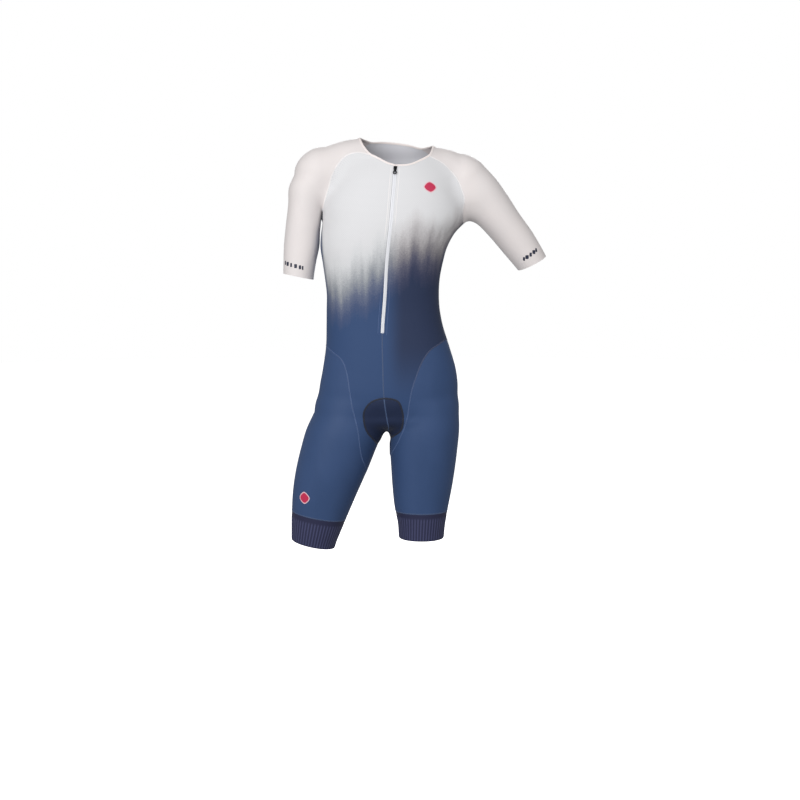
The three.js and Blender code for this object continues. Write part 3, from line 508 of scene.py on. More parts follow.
def fill_between(top, bottom, left, right, push):
    """A grid between four edges, pushed out by a way that fades at the edges."""
    u = np.linspace(0, 1, len(top))[None, :, None]
    v = np.linspace(0, 1, len(left))[:, None, None]
    rows = top[None] * (1 - v) + bottom[None] * v
    columns = left[:, None] * (1 - u) + right[:, None] * u
    corners = (top[0] * (1 - u) + top[-1] * u) * (1 - v) + (bottom[0] * (1 - u) + bottom[-1] * u) * v
    fade = np.sqrt(4 * u * (1 - u)) * np.minimum(1, np.minimum(5 * v, 5 * (1 - v)))
    grid = rows + columns - corners + np.array(push, float) * fade
    grid[1:-1, 1:-1] = onto(grid[1:-1, 1:-1], CLOSE_ROUNDS)
    grid[:, 0], grid[:, -1] = left, right
    grid[0], grid[-1] = top, bottom
    return grid


def spread(grid, closed, row_weight, rounds=SPREAD_ROUNDS):
    """Evens out a grid's inner points over the form."""
    grid = grid.copy()
    columns = slice(None) if closed else slice(1, -1)
    for _ in range(rounds):
        beside = (np.roll(grid, 1, 1) + np.roll(grid, -1, 1))[1:-1, columns] / 2
        over_and_under = (grid[:-2] + grid[2:])[:, columns] / 2
        drawn = over_and_under + (beside - over_and_under) * row_weight
        grid[1:-1, columns] = onto(grid[1:-1, columns] * 0.2 + drawn * 0.8, 2)
    grid[1:-1, columns] = onto(grid[1:-1, columns])
    return grid


def finer(points, times=DETAIL, closed=False):
    """More points along the first axis, on smooth curves through the given ones."""
    rows = np.concatenate([points[-2:], points, points[:3]]) if closed else points
    flat = rows.reshape(len(rows), -1)
    table = Table(np.column_stack([np.arange(len(rows)), flat]))
    if closed:
        at = 2 + np.arange(len(points) * times) / times
    else:
        at = np.linspace(0, len(rows) - 1, (len(rows) - 1) * times + 1)
    return table.read(at).reshape(-1, *points.shape[1:])


def finer_grid(grid, closed=False):
    rows = finer(grid)
    return onto(np.swapaxes(finer(np.swapaxes(rows, 0, 1), closed=closed), 0, 1))


def fine_line(points, closed=False, times=DETAIL):
    return onto(finer(np.asarray(points, float), times, closed))


# The front's middle line and the neck's arcs
neck_curve = curve_through(NECK_RING)
neck_at = {name: neck_curve.at[i] for name, i in NECK_CORNERS.items()}
neck_arcs = dict(
    front_right=along_curve(neck_curve, 0, neck_at["front_right"], from_middle(HALF_SLOT)),
    shoulder_right=along_curve(neck_curve, neck_at["front_right"], neck_at["back_right"], SLEEVE_COLUMNS),
    back=along_curve(neck_curve, neck_at["back_right"], neck_at["back_left"], 2 * FRONT_COLUMNS + 2),
    shoulder_left=along_curve(neck_curve, neck_at["back_left"], neck_at["front_left"], SLEEVE_COLUMNS),
    front_left=along_curve(neck_curve, neck_at["end"], neck_at["front_left"], from_middle(HALF_SLOT)))
centre_curve = curve_through(CENTRE)
zip_end = centre_curve.at[ZIP_BOTTOM]
middle = np.concatenate([
    along_curve(centre_curve, 0, zip_end, ZIP),
    along_curve(centre_curve, zip_end + ZIP_END_STEP, centre_curve.at[-1], RAGLAN + SIDE + HIP - ZIP - 1)])
inseams = {side: whole_curve(SEAMS[side]["inseam"], from_middle(0)) for side in SIGN}


def beside(line, sign, distance):
    """Points beside a line down the front, towards -X or +X."""
    across = unit(np.cross(outward(line), np.gradient(line, axis=0)))
    across = across * np.where(across[:, :1] * sign < 0, -1, 1)
    return onto(line + across * np.reshape(distance, (-1, 1)))


def side_chain(seams, raglan, hip):
    return np.concatenate([
        whole_curve(seams[raglan], RAGLAN),
        whole_curve(seams["side"], SIDE)[1:],
        whole_curve(seams[hip], HIP)[1:]])


def front_grid(side):
    """A front panel's fine grid, from the zip's slot and the middle seam to the side."""
    top, bottom = neck_arcs[f"front_{side}"], inseams[side]
    stitched = beside(middle, SIGN[side], HALF_TAPE)
    stitched[0], stitched[-1] = top[1], bottom[1]
    chain = side_chain(SEAMS[side], "raglan_front", "hip_front")
    filled = fill_between(top[1:], bottom[1:], stitched, chain, (0, -40, 0))
    inner = finer_grid(spread(filled, False, PANEL_ROW_WEIGHT))
    line = fine_line(middle)
    edge = beside(line, SIGN[side], np.where(np.arange(len(line)) <= ZIP * DETAIL, HALF_SLOT, 0))
    edge[0], edge[-1] = top[0], bottom[0]
    share = np.linspace(0, 1, DETAIL + 1)[None, :, None]
    strip = onto(edge[:, None] * (1 - share) + inner[:, :1] * share)
    return np.concatenate([strip[:, :-1], inner], 1)


def back_grid():
    bottom = np.concatenate([inseams["right"][:0:-1], inseams["left"]])
    return spread(fill_between(
        neck_arcs["back"], bottom,
        side_chain(SEAMS["right"], "raglan_back", "hip_back"),
        side_chain(SEAMS["left"], "raglan_back", "hip_back"),
        (0, 120, 0)), False, PANEL_ROW_WEIGHT)


def sleeve_grid(side):
    """Rows over the shoulder between the raglan seams, then round the arm from its underarm seam."""
    sign, seams, cuff, pit = SIGN[side], SEAMS[side], CUFFS[side], ARM_PITS[side]
    neck_arc = neck_arcs[f"shoulder_{side}"][::1 if side == "right" else -1]
    front = whole_curve(seams["raglan_front"], RAGLAN)
    back = whole_curve(seams["raglan_back"], RAGLAN)
    neck_end = dict(centre=(front[0] + back[0]) / 2, down=(sign, 0, -0.1))
    rows = [neck_arc]
    for i in range(1, RAGLAN + ARM + 1):
        on_cap = i <= RAGLAN
        t = i / RAGLAN if on_cap else (i - RAGLAN) / ARM
        start, end = (neck_end, pit) if on_cap else (pit, cuff)
        down = unit(np.array(start["down"]) * (1 - t) + np.array(end["down"]) * t)
        centre = np.array(start["centre"]) * (1 - t) + np.array(end["centre"]) * t
        if on_cap:
            centre = centre + down * np.dot((front[i] + back[i]) / 2 - centre, down)
        up = unit(np.cross(down, (0, -1, 0)) * -sign)
        across = np.cross(up, down)
        ahead = -across if across[1] > 0 else across
        first, last = -math.pi / 2, 1.5 * math.pi
        if on_cap:
            first, last = (math.atan2(np.dot(p - centre, up), np.dot(p - centre, ahead))
                           for p in (front[i], back[i]))
            last += 2 * math.pi if last <= first + 0.01 or last < 0 else 0
        angle = np.linspace(first, last, SLEEVE_COLUMNS + 1)[:, None]
        row = first_out(centre, np.cos(angle) * ahead + np.sin(angle) * up)
        row[0], row[-1] = (front[i], back[i]) if on_cap else (row[0], row[0])
        rows.append(row)
    return spread(np.array(rows), False, SLEEVE_ROW_WEIGHT, SLEEVE_ROUNDS)


def leg_grid(side):
    """Rows from the loop of the hip and seat seams down to the band's flat seam."""
    seams = SEAMS[side]
    behind = whole_curve(seams["hip_back"], HIP)[-2:0:-1]
    loop = np.concatenate([whole_curve(seams["hip_front"], HIP), behind])
    ring = ring_points(**BANDS[side]["seam"], count=len(loop), turn=SIGN[side])
    share = np.linspace(0, 1, LEG + 1)[:, None, None]
    rows = loop * (1 - share) + ring * share
    rows[1:-1] = onto(rows[1:-1], CLOSE_ROUNDS)
    return spread(rows, True, LEG_ROW_WEIGHT)


fronts = {side: front_grid(side) for side in SIGN}
back_rows = back_grid()
sleeve_rows = {side: sleeve_grid(side) for side in SIGN}
leg_rows = {side: leg_grid(side) for side in SIGN}


# Relief of the worn cloth
pad_ring = fine_line(PAD_RING, closed=True, times=6)


def distance_to_line(points, line):
    """Distances from points to the nearest points of a line."""
    near = np.full(len(points), 1e9)
    for a, b in zip(line[:-1], line[1:]):
        way = b - a
        t = np.clip((points - a) @ way / (way @ way), 0, 1)
        near = np.minimum(near, np.linalg.norm(points - a - t[:, None] * way, axis=1))
    return near


def ring_depth(points):
    """How far points lie inside the pad's outline, below zero outside it. The outline is seen from the
    crotch, as an angle round it and a length from it."""
    loop = np.concatenate([pad_ring, pad_ring[:1]])
    near = np.full(len(points), -1e9)
    close = np.linalg.norm(points - PAD_MIDDLE, axis=1) < PAD_REACH
    chosen = points[close]
    if len(chosen):
        flat = unrolled(chosen)
        outline = unrolled(loop)
        inside = np.zeros(len(chosen), bool)
        for (x1, y1), (x2, y2) in zip(outline[:-1], outline[1:]):
            crosses = (y1 > flat[:, 1]) != (y2 > flat[:, 1])
            inside ^= crosses & (flat[:, 0] < (x2 - x1) * (flat[:, 1] - y1) / (y2 - y1 + 1e-12) + x1)
        near[close] = distance_to_line(chosen, loop) * np.where(inside, 1, -1)
    return near


def unrolled(points):
    """Places across and along the crotch, from its front over the bottom to the seat."""
    across = points[:, 0] - PAD_MIDDLE[0]
    turn = np.arctan2(points[:, 1] - PAD_MIDDLE[1], -(points[:, 2] - PAD_TURN_HEIGHT))
    return np.column_stack([across, turn * PAD_TURN_RADIUS])


def relief(points):
    """How far the worn cloth stands out from the plain form."""
    points = np.asarray(points, float)
    flat = points.reshape(-1, 3)
    rise = np.zeros(len(flat))
    for start, end, depth, width in CREASES:
        a, b = np.array(start, float), np.array(end, float)
        close = np.linalg.norm(flat - (a + b) / 2, axis=1) < np.linalg.norm(b - a) / 2 + 3 * width
        way = b - a
        t = (flat[close] - a) @ way / (way @ way)
        off = np.linalg.norm(flat[close] - a - np.clip(t, 0, 1)[:, None] * way, axis=1)
        ends = smooth_step(t, *CREASE_COMES), smooth_step(-t, *CREASE_GOES)
        rise[close] -= depth * np.exp(-(off / width)**2) * ends[0] * ends[1]
    depth = ring_depth(flat)
    rise += PAD_BULGE * smooth_step(depth, 1, 12) - PAD_GROOVE * np.exp(-(depth / 3)**2)
    return rise.reshape(points.shape[:-1])


def lifted(points, height):
    """Points of the form taken to a height over the worn cloth."""
    return points + outward(points) * np.asarray(relief(points) + height)[..., None]


# Meshes
def mesh_object(name, points, faces, material, smooth_angle=50, tone=None):
    """A mesh with one material, and a tone at each point for the material to read."""
    mesh = bpy.data.meshes.new(name)
    mesh.from_pydata((np.asarray(points).reshape(-1, 3) * MM).tolist(), [], faces)
    mesh.materials.append(material)
    mesh.validate()
    if tone is not None:
        mesh.attributes.new("tone", "FLOAT", "POINT").data.foreach_set("value", tone.ravel())
    mesh.shade_smooth()
    mesh.set_sharp_from_angle(angle=math.radians(smooth_angle))
    piece = bpy.data.objects.new(name, mesh)
    bpy.context.scene.collection.objects.link(piece)
    return piece


def grid_faces(rows, columns, closed, start=0):
    wide = columns if closed else columns - 1
    i, j = np.meshgrid(np.arange(rows - 1), np.arange(wide), indexing="ij")
    k = (j + 1) % columns
    quads = np.stack([i * columns + j, (i + 1) * columns + j, (i + 1) * columns + k, i * columns + k], -1)
    return (quads.reshape(-1, 4) + start).tolist()


def facing_out(points, faces):
    """The faces, turned so that the closed body's faces point out."""
    points = np.asarray(points).reshape(-1, 3)
    corners = points[np.array([face[:3] for face in faces])]
    size = np.einsum("ij,ij->", corners[:, 0], np.cross(corners[:, 1], corners[:, 2]))
    return [face[::-1] for face in faces] if size < 0 else faces


def shell(name, outer, inner, material, inside=None, closed=False, tone=None):
    """A closed wall between two grids; the inner faces may take a second material."""
    rows, columns = outer.shape[:2]
    count = rows * columns
    front = grid_faces(rows, columns, closed)
    back = [face[::-1] for face in grid_faces(rows, columns, closed, count)]
    loop = [[i * columns + j for j in range(columns)] for i in (0, rows - 1)]
    if closed:
        rims = [line + line[:1] for line in loop]
        rims[1] = rims[1][::-1]
    else:
        sides = [i * columns for i in range(rows)], [i * columns + columns - 1 for i in range(rows)]
        rims = [loop[0] + sides[1][1:] + loop[1][::-1][1:] + sides[0][::-1][1:]]
    rim = [[a, b, b + count, a + count] for line in rims for a, b in zip(line[:-1], line[1:])]
    points = np.concatenate([outer.reshape(-1, 3), inner.reshape(-1, 3)])
    tones = None if tone is None else np.concatenate([tone.ravel(), np.zeros(count)])
    piece = mesh_object(name, points, facing_out(points, front + back + rim), material, tone=tones)
    if inside:
        piece.data.materials.append(inside)
        slots = np.zeros(len(piece.data.polygons), int)
        slots[len(front):len(front) + len(back)] = 1
        piece.data.polygons.foreach_set("material_index", slots)
    return piece


def cloth_shell(name, grid, material, inside, closed=False):
    """A panel, with a tone of one inside the pad's outline, where the cloth takes the darker inset's colour
    with painted crotch shade.
    """
    rise = relief(grid)[..., None]
    ways = outward(grid)
    zone = smooth_step(ring_depth(grid.reshape(-1, 3)), -2, 2)
    return shell(name, grid + ways * rise, grid + ways * (rise - CLOTH), material, inside, closed, zone)


def strip_grid(line, section, closed=False, sign=None):
    """Points of a section, as places across and out, carried along a line of the form."""
    ahead = np.gradient(line, axis=0)
    if closed:
        ahead = np.roll(line, -1, 0) - np.roll(line, 1, 0)
    across = unit(np.cross(outward(line), ahead))
    if sign is not None:
        across = across * np.where((across @ np.array(sign, float))[:, None] < 0, -1, 1)
    places = np.array(section, float)
    grid = onto(line[:, None] + across[:, None] * places[None, :, :1], 4)
    return lifted(grid, places[None, :, 1])


def strip(name, line, section, material, closed=False, sign=None):
    """A solid strip with a closed section along a line of the form."""
    grid = strip_grid(line, section, closed, sign)
    rows, columns = grid.shape[:2]
    if closed:
        grid = np.concatenate([grid, grid[:1]])
        faces = grid_faces(rows + 1, columns, True)
        faces = [[index % (rows * columns) for index in face] for face in faces]
        grid = grid[:-1]
    else:
        faces = grid_faces(rows, columns, True)
        faces += [list(range(columns)), [(rows - 1) * columns + j for j in reversed(range(columns))]]
    return mesh_object(name, grid, facing_out(grid, faces), material)


def stitches(name, starts, ends, half, height, material):
    """Short rounded threads between pairs of points that lie on the cloth."""
    starts, ends = np.asarray(starts, float), np.asarray(ends, float)
    out = outward((starts + ends) / 2)
    side = unit(np.cross(out, ends - starts)) * half
    points = [starts]
    for share in (0.22, 0.78):
        centre = starts * (1 - share) + ends * share
        points += [centre + side, centre + out * height, centre - side, centre - out * half]
    points = np.stack([*points, ends], 1)
    rings = [[1, 2, 3, 4], [5, 6, 7, 8]]
    faces = []
    for k in range(4):
        m = (k + 1) % 4
        faces += [[0, rings[0][m], rings[0][k]], [9, rings[1][k], rings[1][m]]]
        faces.append([rings[0][k], rings[0][m], rings[1][m], rings[1][k]])
    count = points.shape[1]
    every = [[index + count * i for index in face] for i in range(len(points)) for face in faces]
    return mesh_object(name, points, facing_out(points, every), material, 80)


def at_equal_steps(line, step):
    """Points at equal steps along a line, one every step or a little less."""
    far = lengths(line)
    wanted = np.linspace(0, far[-1], int(far[-1] / step) + 1)
    return np.column_stack([np.interp(wanted, far, line[:, k]) for k in range(3)])


def stitch_line(name, line, material, height=0.2):
    """A row of running stitches on the cloth."""
    points = onto(at_equal_steps(line, STITCH_PITCH), 3)
    step = np.diff(points, axis=0)
    share = STITCH_LENGTH / STITCH_PITCH
    starts = lifted(points[:-1] + step * (1 - share) / 2, 0.02)
    ends = lifted(points[:-1] + step * (1 + share) / 2, 0.02)
    return stitches(name, starts, ends, 0.24, height, material)


# Materials
def srgb(code):
    """A hex colour as linear values."""
    parts = [int(code[i:i + 2], 16) / 255 for i in (1, 3, 5)]
    return [x / 12.92 if x <= 0.04045 else ((x + 0.055) / 1.055)**2.4 for x in parts] + [1.0]


class Look:
    """A material and the nodes that make it."""

    def __init__(self, name, **sockets):
        self.material = bpy.data.materials.new(name)
        self.material.use_nodes = True
        self.tree = self.material.node_tree
        self.surface = self.tree.nodes["Principled BSDF"]
        for socket, value in sockets.items():
            self.surface.inputs[socket.replace("_", " ")].default_value = value

    def node(self, kind, values=None, **settings):
        node = self.tree.nodes.new("ShaderNode" + kind)
        for name, value in settings.items():
            setattr(node, name, value)
        for socket, value in (values or {}).items():
            self.give(node.inputs[socket], value)
        return node

    def give(self, socket, value):
        if isinstance(value, bpy.types.NodeSocket):
            self.tree.links.new(value, socket)
        else:
            socket.default_value = value

    def math(self, operation, *values):
        return self.node("Math", dict(enumerate(values)), operation=operation).outputs[0]

    def centred(self, value, size):
        """A noise moved to swing about zero, at a given size."""
        return self.math("MULTIPLY", self.math("SUBTRACT", value, 0.5), size)

    def ranged(self, value, low, high, to_low=0.0, to_high=1.0, kind="SMOOTHSTEP"):
        values = {"Value": value, "From Min": low, "From Max": high, "To Min": to_low, "To Max": to_high}
        return self.node("MapRange", values, interpolation_type=kind).outputs["Result"]

    def mixed(self, share, a, b, blend="MIX"):
        node = self.node("Mix", data_type="RGBA", blend_type=blend)
        self.give(node.inputs[0], share)
        self.give(node.inputs[6], a)
        self.give(node.inputs[7], b)
        return node.outputs[2]

    def place(self):
        """The point of the surface in the suit's own frame, whole and as x, y and z."""
        whole = self.node("TexCoord").outputs["Object"]
        split = self.node("SeparateXYZ", {0: whole})
        return whole, *split.outputs[:3]

    def noise(self, vector, scale, size=1.0, detail=2.0, rough=0.5):
        stretched = self.node("VectorMath", {0: vector, 1: scale}, operation="MULTIPLY").outputs[0]
        values = {"Vector": stretched, "Scale": size, "Detail": detail, "Roughness": rough}
        return self.node("TexNoise", values).outputs["Fac"]

    def bumped(self, height, strength, distance, under=None):
        values = {"Height": height, "Strength": strength, "Distance": distance}
        if under is not None:
            values["Normal"] = under
        return self.node("Bump", values).outputs["Normal"]

    def finish(self, colour, normal=None):
        self.give(self.surface.inputs["Base Color"], colour)
        if normal is not None:
            self.give(self.surface.inputs["Normal"], normal)
        return self.material


WHITE = "#e2e2e4"
NAVY = "#364d75"
# Colour inside the pad's outline: a darker inset, deepened by painted shade of the crotch
PAD_INSET_AND_SHADE = "#222d49"
# Height of the fade's middle, from the right side to the left, both in metres. The first rows take the navy
# steeply up the right side beside the sleeve.
FADE_ACROSS = [
    (-0.180, -0.205), (-0.176, -0.250), (-0.171, -0.318), (-0.163, -0.343), (-0.150, -0.345),
    (-0.120, -0.343), (-0.107, -0.328), (-0.088, -0.318), (-0.070, -0.321), (-0.051, -0.300),
    (-0.035, -0.290), (0.010, -0.264), (0.028, -0.254), (0.047, -0.238), (0.061, -0.251),
    (0.080, -0.250), (0.105, -0.256), (0.140, -0.228),
]
FADE_X = (-0.18, 0.14)
FADE_Z = (-0.36, -0.16)
FADE_HALF = 0.088
STREAK_RISE = 0.06
SPECK_RISE = 0.34
BACK_RISE = 0.105
FADE_TONES = ((0.165, "#dcdddf"), (0.33, "#c3c5c8"), (0.5, "#989ca3"), (0.665, "#687087"), (0.83, "#485678"))


def fade_share(look):
    """How far the print has gone from white to navy at a place, with its streaks and specks."""
    whole, x, y, z = look.place()
    curve = look.node("FloatCurve", {"Value": look.ranged(x, *FADE_X, kind="LINEAR")})
    line = curve.mapping.curves[0]
    places = [((a - FADE_X[0]) / (FADE_X[1] - FADE_X[0]), (b - FADE_Z[0]) / (FADE_Z[1] - FADE_Z[0]))
              for a, b in FADE_ACROSS]
    line.points[0].location, line.points[1].location = places[0], places[-1]
    for place in places[1:-1]:
        line.points.new(*place)
    curve.mapping.update()
    height = look.ranged(curve.outputs[0], 0, 1, *FADE_Z, kind="LINEAR")
    behind = look.ranged(y, -0.06, 0.015, 0, BACK_RISE)
    streaks = look.centred(look.noise(whole, (60, 60, 3), detail=3), STREAK_RISE)
    middle_z = look.math("ADD", look.math("ADD", height, behind), streaks)
    share = look.math("DIVIDE", look.math("SUBTRACT", middle_z, z), FADE_HALF)
    specks = look.centred(look.noise(whole, (260, 260, 480), detail=1), SPECK_RISE)
    return look.ranged(look.math("ADD", share, specks), -1, 1, kind="LINEAR"), whole, x, y, z


def fade_colour(look, white=WHITE, navy=NAVY):
    share, whole, x, y, z = fade_share(look)
    ramp = look.node("ValToRGB", {"Fac": share})
    stops = ramp.color_ramp.elements
    stops[0].color, stops[1].color = srgb(white), srgb(navy)
    for at, colour in FADE_TONES:
        stops.new(at).color = srgb(colour)
    # Painted shade: the navy on the wearer's left of the trunk, above the hips, is darkened with a warm tint
    # for the arm's shadow and the trunk turning from the light
    left = look.math("MULTIPLY", look.ranged(x, -0.03, 0.02), look.ranged(z, -0.63, -0.46))
    painted_shade_share = look.math("MULTIPLY", look.math("MULTIPLY", left, share), 0.8)
    toned = look.mixed(painted_shade_share, srgb("#ffffff"), srgb("#d0aea8"))
    return look.mixed(1.0, ramp.outputs["Color"], toned, "MULTIPLY"), whole, x, y, z


def tone_of(look):
    """The tone stored at the mesh's points."""
    return look.node("Attribute", attribute_name="tone").outputs["Fac"]


def knit_cells(look, x, y, z, width, height):
    """Small offset cells of a dimpled knit, laid round the trunk: one on the dashes between them."""
    turn = look.math("ARCTAN2", look.math("ADD", x, 0.02), look.math("MULTIPLY", y, -1.0))
    around = look.math("MULTIPLY", turn, 0.13)
    cell = {0: look.math("DIVIDE", around, width * 2), 1: look.math("DIVIDE", z, height * 4)}
    flat = look.node("CombineXYZ", cell)
    return look.node("TexBrick", {"Vector": flat.outputs[0], "Scale": 1.0, "Mortar Size": 0.045,
                                  "Mortar Smooth": 0.6}).outputs["Fac"]


def printed_knit():
    """The trunk: a dimpled knit printed from white to navy."""
    look = Look("printed_knit", Roughness=0.65, Sheen_Weight=0.05, Sheen_Roughness=0.4,
                Specular_IOR_Level=0.2)
    colour, whole, x, y, z = fade_colour(look)
    cells = knit_cells(look, x, y, z, 0.0052, 0.0026)
    top = look.ranged(z, -0.46, -0.34)
    dashes = look.math("MULTIPLY", cells, top)
    tinted = look.mixed(look.math("MULTIPLY", dashes, 0.10), colour, srgb("#30353f"))
    # Inside the pad's outline: the darker inset with painted crotch shade
    zoned = look.mixed(tone_of(look), tinted, srgb(PAD_INSET_AND_SHADE))
    fine = look.noise(whole, (1, 1, 1), 2600, 2)
    under = look.bumped(fine, 0.25, 0.0001)
    return look.finish(zoned, look.bumped(dashes, -0.5, 0.00025, under))


def smooth_knit(name, colour, pale, bump=0.0001, sheen=0.04, rough=0.6):
    """A plain stretch knit with a faint cloudiness and fine grain."""
    look = Look(name, Roughness=rough, Sheen_Weight=sheen, Sheen_Roughness=0.35, Specular_IOR_Level=0.25)
    whole = look.place()[0]
    cloudy = look.ranged(look.noise(whole, (1, 1, 0.5), 14, 3), 0.35, 0.65)
    grain = look.noise(whole, (1, 1, 1.8), 2300, 2)
    toned = look.mixed(look.math("MULTIPLY", cloudy, 0.35), srgb(colour), srgb(pale))
    # Inside the pad's outline: the darker inset with painted crotch shade
    zoned = look.mixed(tone_of(look), toned, srgb(PAD_INSET_AND_SHADE))
    return look.finish(zoned, look.bumped(grain, 0.3, bump))


def ribbed_knit():
    """The leg bands: narrow columns of knit, with a painted highlight on the ribs' crests."""
    look = Look("ribbed_knit", Roughness=0.6, Sheen_Weight=0.05, Sheen_Roughness=0.35,
                Specular_IOR_Level=0.25)
    whole, _, _, z = look.place()
    rows = look.math("SINE", look.math("MULTIPLY", z, 2600.0))
    grain = look.noise(whole, (1, 1, 1), 2100, 2)
    toned = look.mixed(look.math("MULTIPLY", grain, 0.4), srgb("#292b45"), srgb("#35375a"))
    # Painted highlight: the ribs' crests are paler by the tone that the band stores
    ribbed = look.mixed(look.math("MULTIPLY", tone_of(look), 0.65), toned, srgb("#565a80"))
    return look.finish(ribbed, look.bumped(look.math("MULTIPLY", rows, 0.5), 0.35, 0.0002))


def seam_thread():
    """Flat seam threads, which follow the print a little paler, with the same painted shade on the wearer's
    left above the hips.
    """
    look = Look("seam_thread", Roughness=0.6, Sheen_Weight=0.15)
    colour, whole, *_ = fade_colour(look, "#f2eeee", "#465d89")
    return look.finish(colour, look.bumped(look.noise(whole, (1, 1, 1), 3000), 0.3, 0.0001))


def darker(code, share):
    return [value * share for value in srgb(code)[:3]] + [1.0]


def thread(name, colour):
    look = Look(name, Roughness=0.55, Sheen_Weight=0.15)
    whole = look.place()[0]
    grain = look.noise(whole, (1, 1, 1), 3200)
    return look.finish(look.mixed(grain, srgb(colour), darker(colour, 0.82)),
                       look.bumped(grain, 0.3, 0.0001))


def woven_tape():
    """Zip tape with a fine upright herringbone."""
    look = Look("woven_tape", Roughness=0.55, Sheen_Weight=0.1)
    _, x, _, z = look.place()
    slant = look.math("ABSOLUTE", look.math("SINE", look.math("MULTIPLY", x, 1400.0)))
    rows = look.math("ADD", look.math("MULTIPLY", z, 5200.0), look.math("MULTIPLY", slant, 5.0))
    weave = look.math("SINE", rows)
    return look.finish(look.mixed(look.ranged(weave, -1, 1, 0, 0.3), srgb("#eff0f4"), srgb("#d3d6de")),
                       look.bumped(weave, 0.3, 0.0001))


def satin_black():
    look = Look("satin_black", Roughness=0.38, Metallic=0.55, Base_Color=srgb("#1b1c20"))
    whole = look.place()[0]
    wear = look.ranged(look.noise(whole, (1, 1, 1), 900, 3), 0.55, 0.75)
    return look.finish(look.mixed(wear, srgb("#17181c"), srgb("#34363d")),
                       look.bumped(look.noise(whole, (1, 1, 1), 1500), 0.1, 0.00005))


def fleece():
    """The pad's soft top."""
    look = Look("fleece", Roughness=0.85, Sheen_Weight=0.5, Sheen_Roughness=0.5)
    whole = look.place()[0]
    nap = look.noise(whole, (1, 1, 1), 900, 4, 0.7)
    return look.finish(look.mixed(nap, srgb("#1c243c"), srgb("#313c5c")), look.bumped(nap, 0.6, 0.0004))


def transfer(name, colour):
    """A thin printed film on the cloth."""
    look = Look(name, Roughness=0.45, Sheen_Weight=0.05)
    whole = look.place()[0]
    grain = look.noise(whole, (1, 1, 1), 1800, 2)
    return look.finish(look.mixed(grain, srgb(colour), darker(colour, 0.86)),
                       look.bumped(grain, 0.2, 0.00008))


LOOKS = dict(
    front=printed_knit(),
    sleeve=smooth_knit("sheer_knit", "#e6e0df", "#ebe3e1", 0.00008, 0.35, 0.6),
    leg=smooth_knit("navy_knit", NAVY, "#3e557f"),
    band=ribbed_knit(),
    binding=smooth_knit("binding_knit", "#f6edea", "#faf3f1", 0.00015),
    reverse=smooth_knit("reverse_knit", "#dddde3", "#e6e6ea", 0.00015, 0.1, 0.75),
    sleeve_reverse=smooth_knit("sleeve_reverse", "#ddd5d5", "#e4dada", 0.0001, 0.1, 0.7),
    leg_reverse=smooth_knit("leg_reverse", "#3a4868", "#46547a", 0.00015, 0.1, 0.75),
    gripper=smooth_knit("gripper", "#2c2e46", "#383a56", 0.0002, 0.05, 0.45),
    tape=woven_tape(),
    coil=thread("zip_coil", "#e4e6ee"),
    seam=seam_thread(),
    white_thread=thread("white_thread", "#d9d3d4"),
    navy_thread=thread("navy_thread", "#43587f"),
    pad_thread=thread("pad_thread", "#171f35"),
    metal=satin_black(),
    fleece=fleece(),
    crimson=transfer("crimson_film", "#cf2a55"),
    rose=transfer("rose_film", "#f4cbd3"),
    ink=transfer("navy_film", "#262c42"))


def keep(piece, slot, *replaced, body="suit"):
    """Files a piece with its body and hides the nodes that it stands for; the slot is not used."""
    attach(piece, body)
    if replaced:
        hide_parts(*replaced)
    return piece


# Panels
for side in SIGN:
    keep(cloth_shell(f"front_cloth_{side}", fronts[side], LOOKS["front"], LOOKS["reverse"]), "front",
         f"front_{side}")
    sleeve = finer_grid(sleeve_rows[side])
    keep(cloth_shell(f"sleeve_cloth_{side}", sleeve, LOOKS["sleeve"], LOOKS["sleeve_reverse"]), "sleeve",
         f"sleeve_{side}")
    leg = finer_grid(leg_rows[side], closed=True)
    keep(cloth_shell(f"leg_cloth_{side}", leg, LOOKS["leg"], LOOKS["leg_reverse"], True), "leg",
         f"leg_{side}")
back = finer_grid(back_rows)
keep(cloth_shell("back_cloth", back, LOOKS["front"], LOOKS["reverse"]), "back", "back")


# Leg bands
def leg_band(side):
    seam, hem = BANDS[side]["seam"], BANDS[side]["hem"]
    count = RIBS * RIB_POINTS
    wave = np.cos(np.arange(count) * 2 * np.pi / RIB_POINTS) * 0.5 + 0.5
    outer, inner, tones = [], [], []
    for height in np.linspace(0, 1, BAND_ROWS):
        centre = np.array(seam["centre"]) * (1 - height) + np.array(hem["centre"]) * height
        down = unit(seam["down"]) * (1 - height) + unit(hem["down"]) * height
        points = ring_points(centre, down, seam["first"], count, SIGN[side])
        ways = unit(points - centre)
        ribbed = smooth_step(height, RIB_START, RIB_START + 0.05) * smooth_step(-height, -1, -0.985)
        outer.append(points + ways * (wave**1.5 * RIB_HEIGHT * ribbed)[:, None])
        inner.append(points - ways * CLOTH)
        # The tone is the share of painted highlight on each rib's crest
        tones.append(wave**2 * ribbed)
    outer, inner, tones = np.array(outer), np.array(inner), np.array(tones)
    return shell(f"leg_band_cloth_{side}", outer, inner, LOOKS["band"], LOOKS["gripper"], True, tones)


for side in SIGN:
    keep(leg_band(side), "leg_band", f"leg_band_{side}")


# Flat seams: a low raised ribbon and slanted threads over it
FLAT_SEAM = [
    (-SEAM_HALF, -0.3), (-SEAM_HALF, 0.06), (-SEAM_HALF * 0.6, 0.28), (0, 0.2),
    (SEAM_HALF * 0.6, 0.28), (SEAM_HALF, 0.06), (SEAM_HALF, -0.3),
]


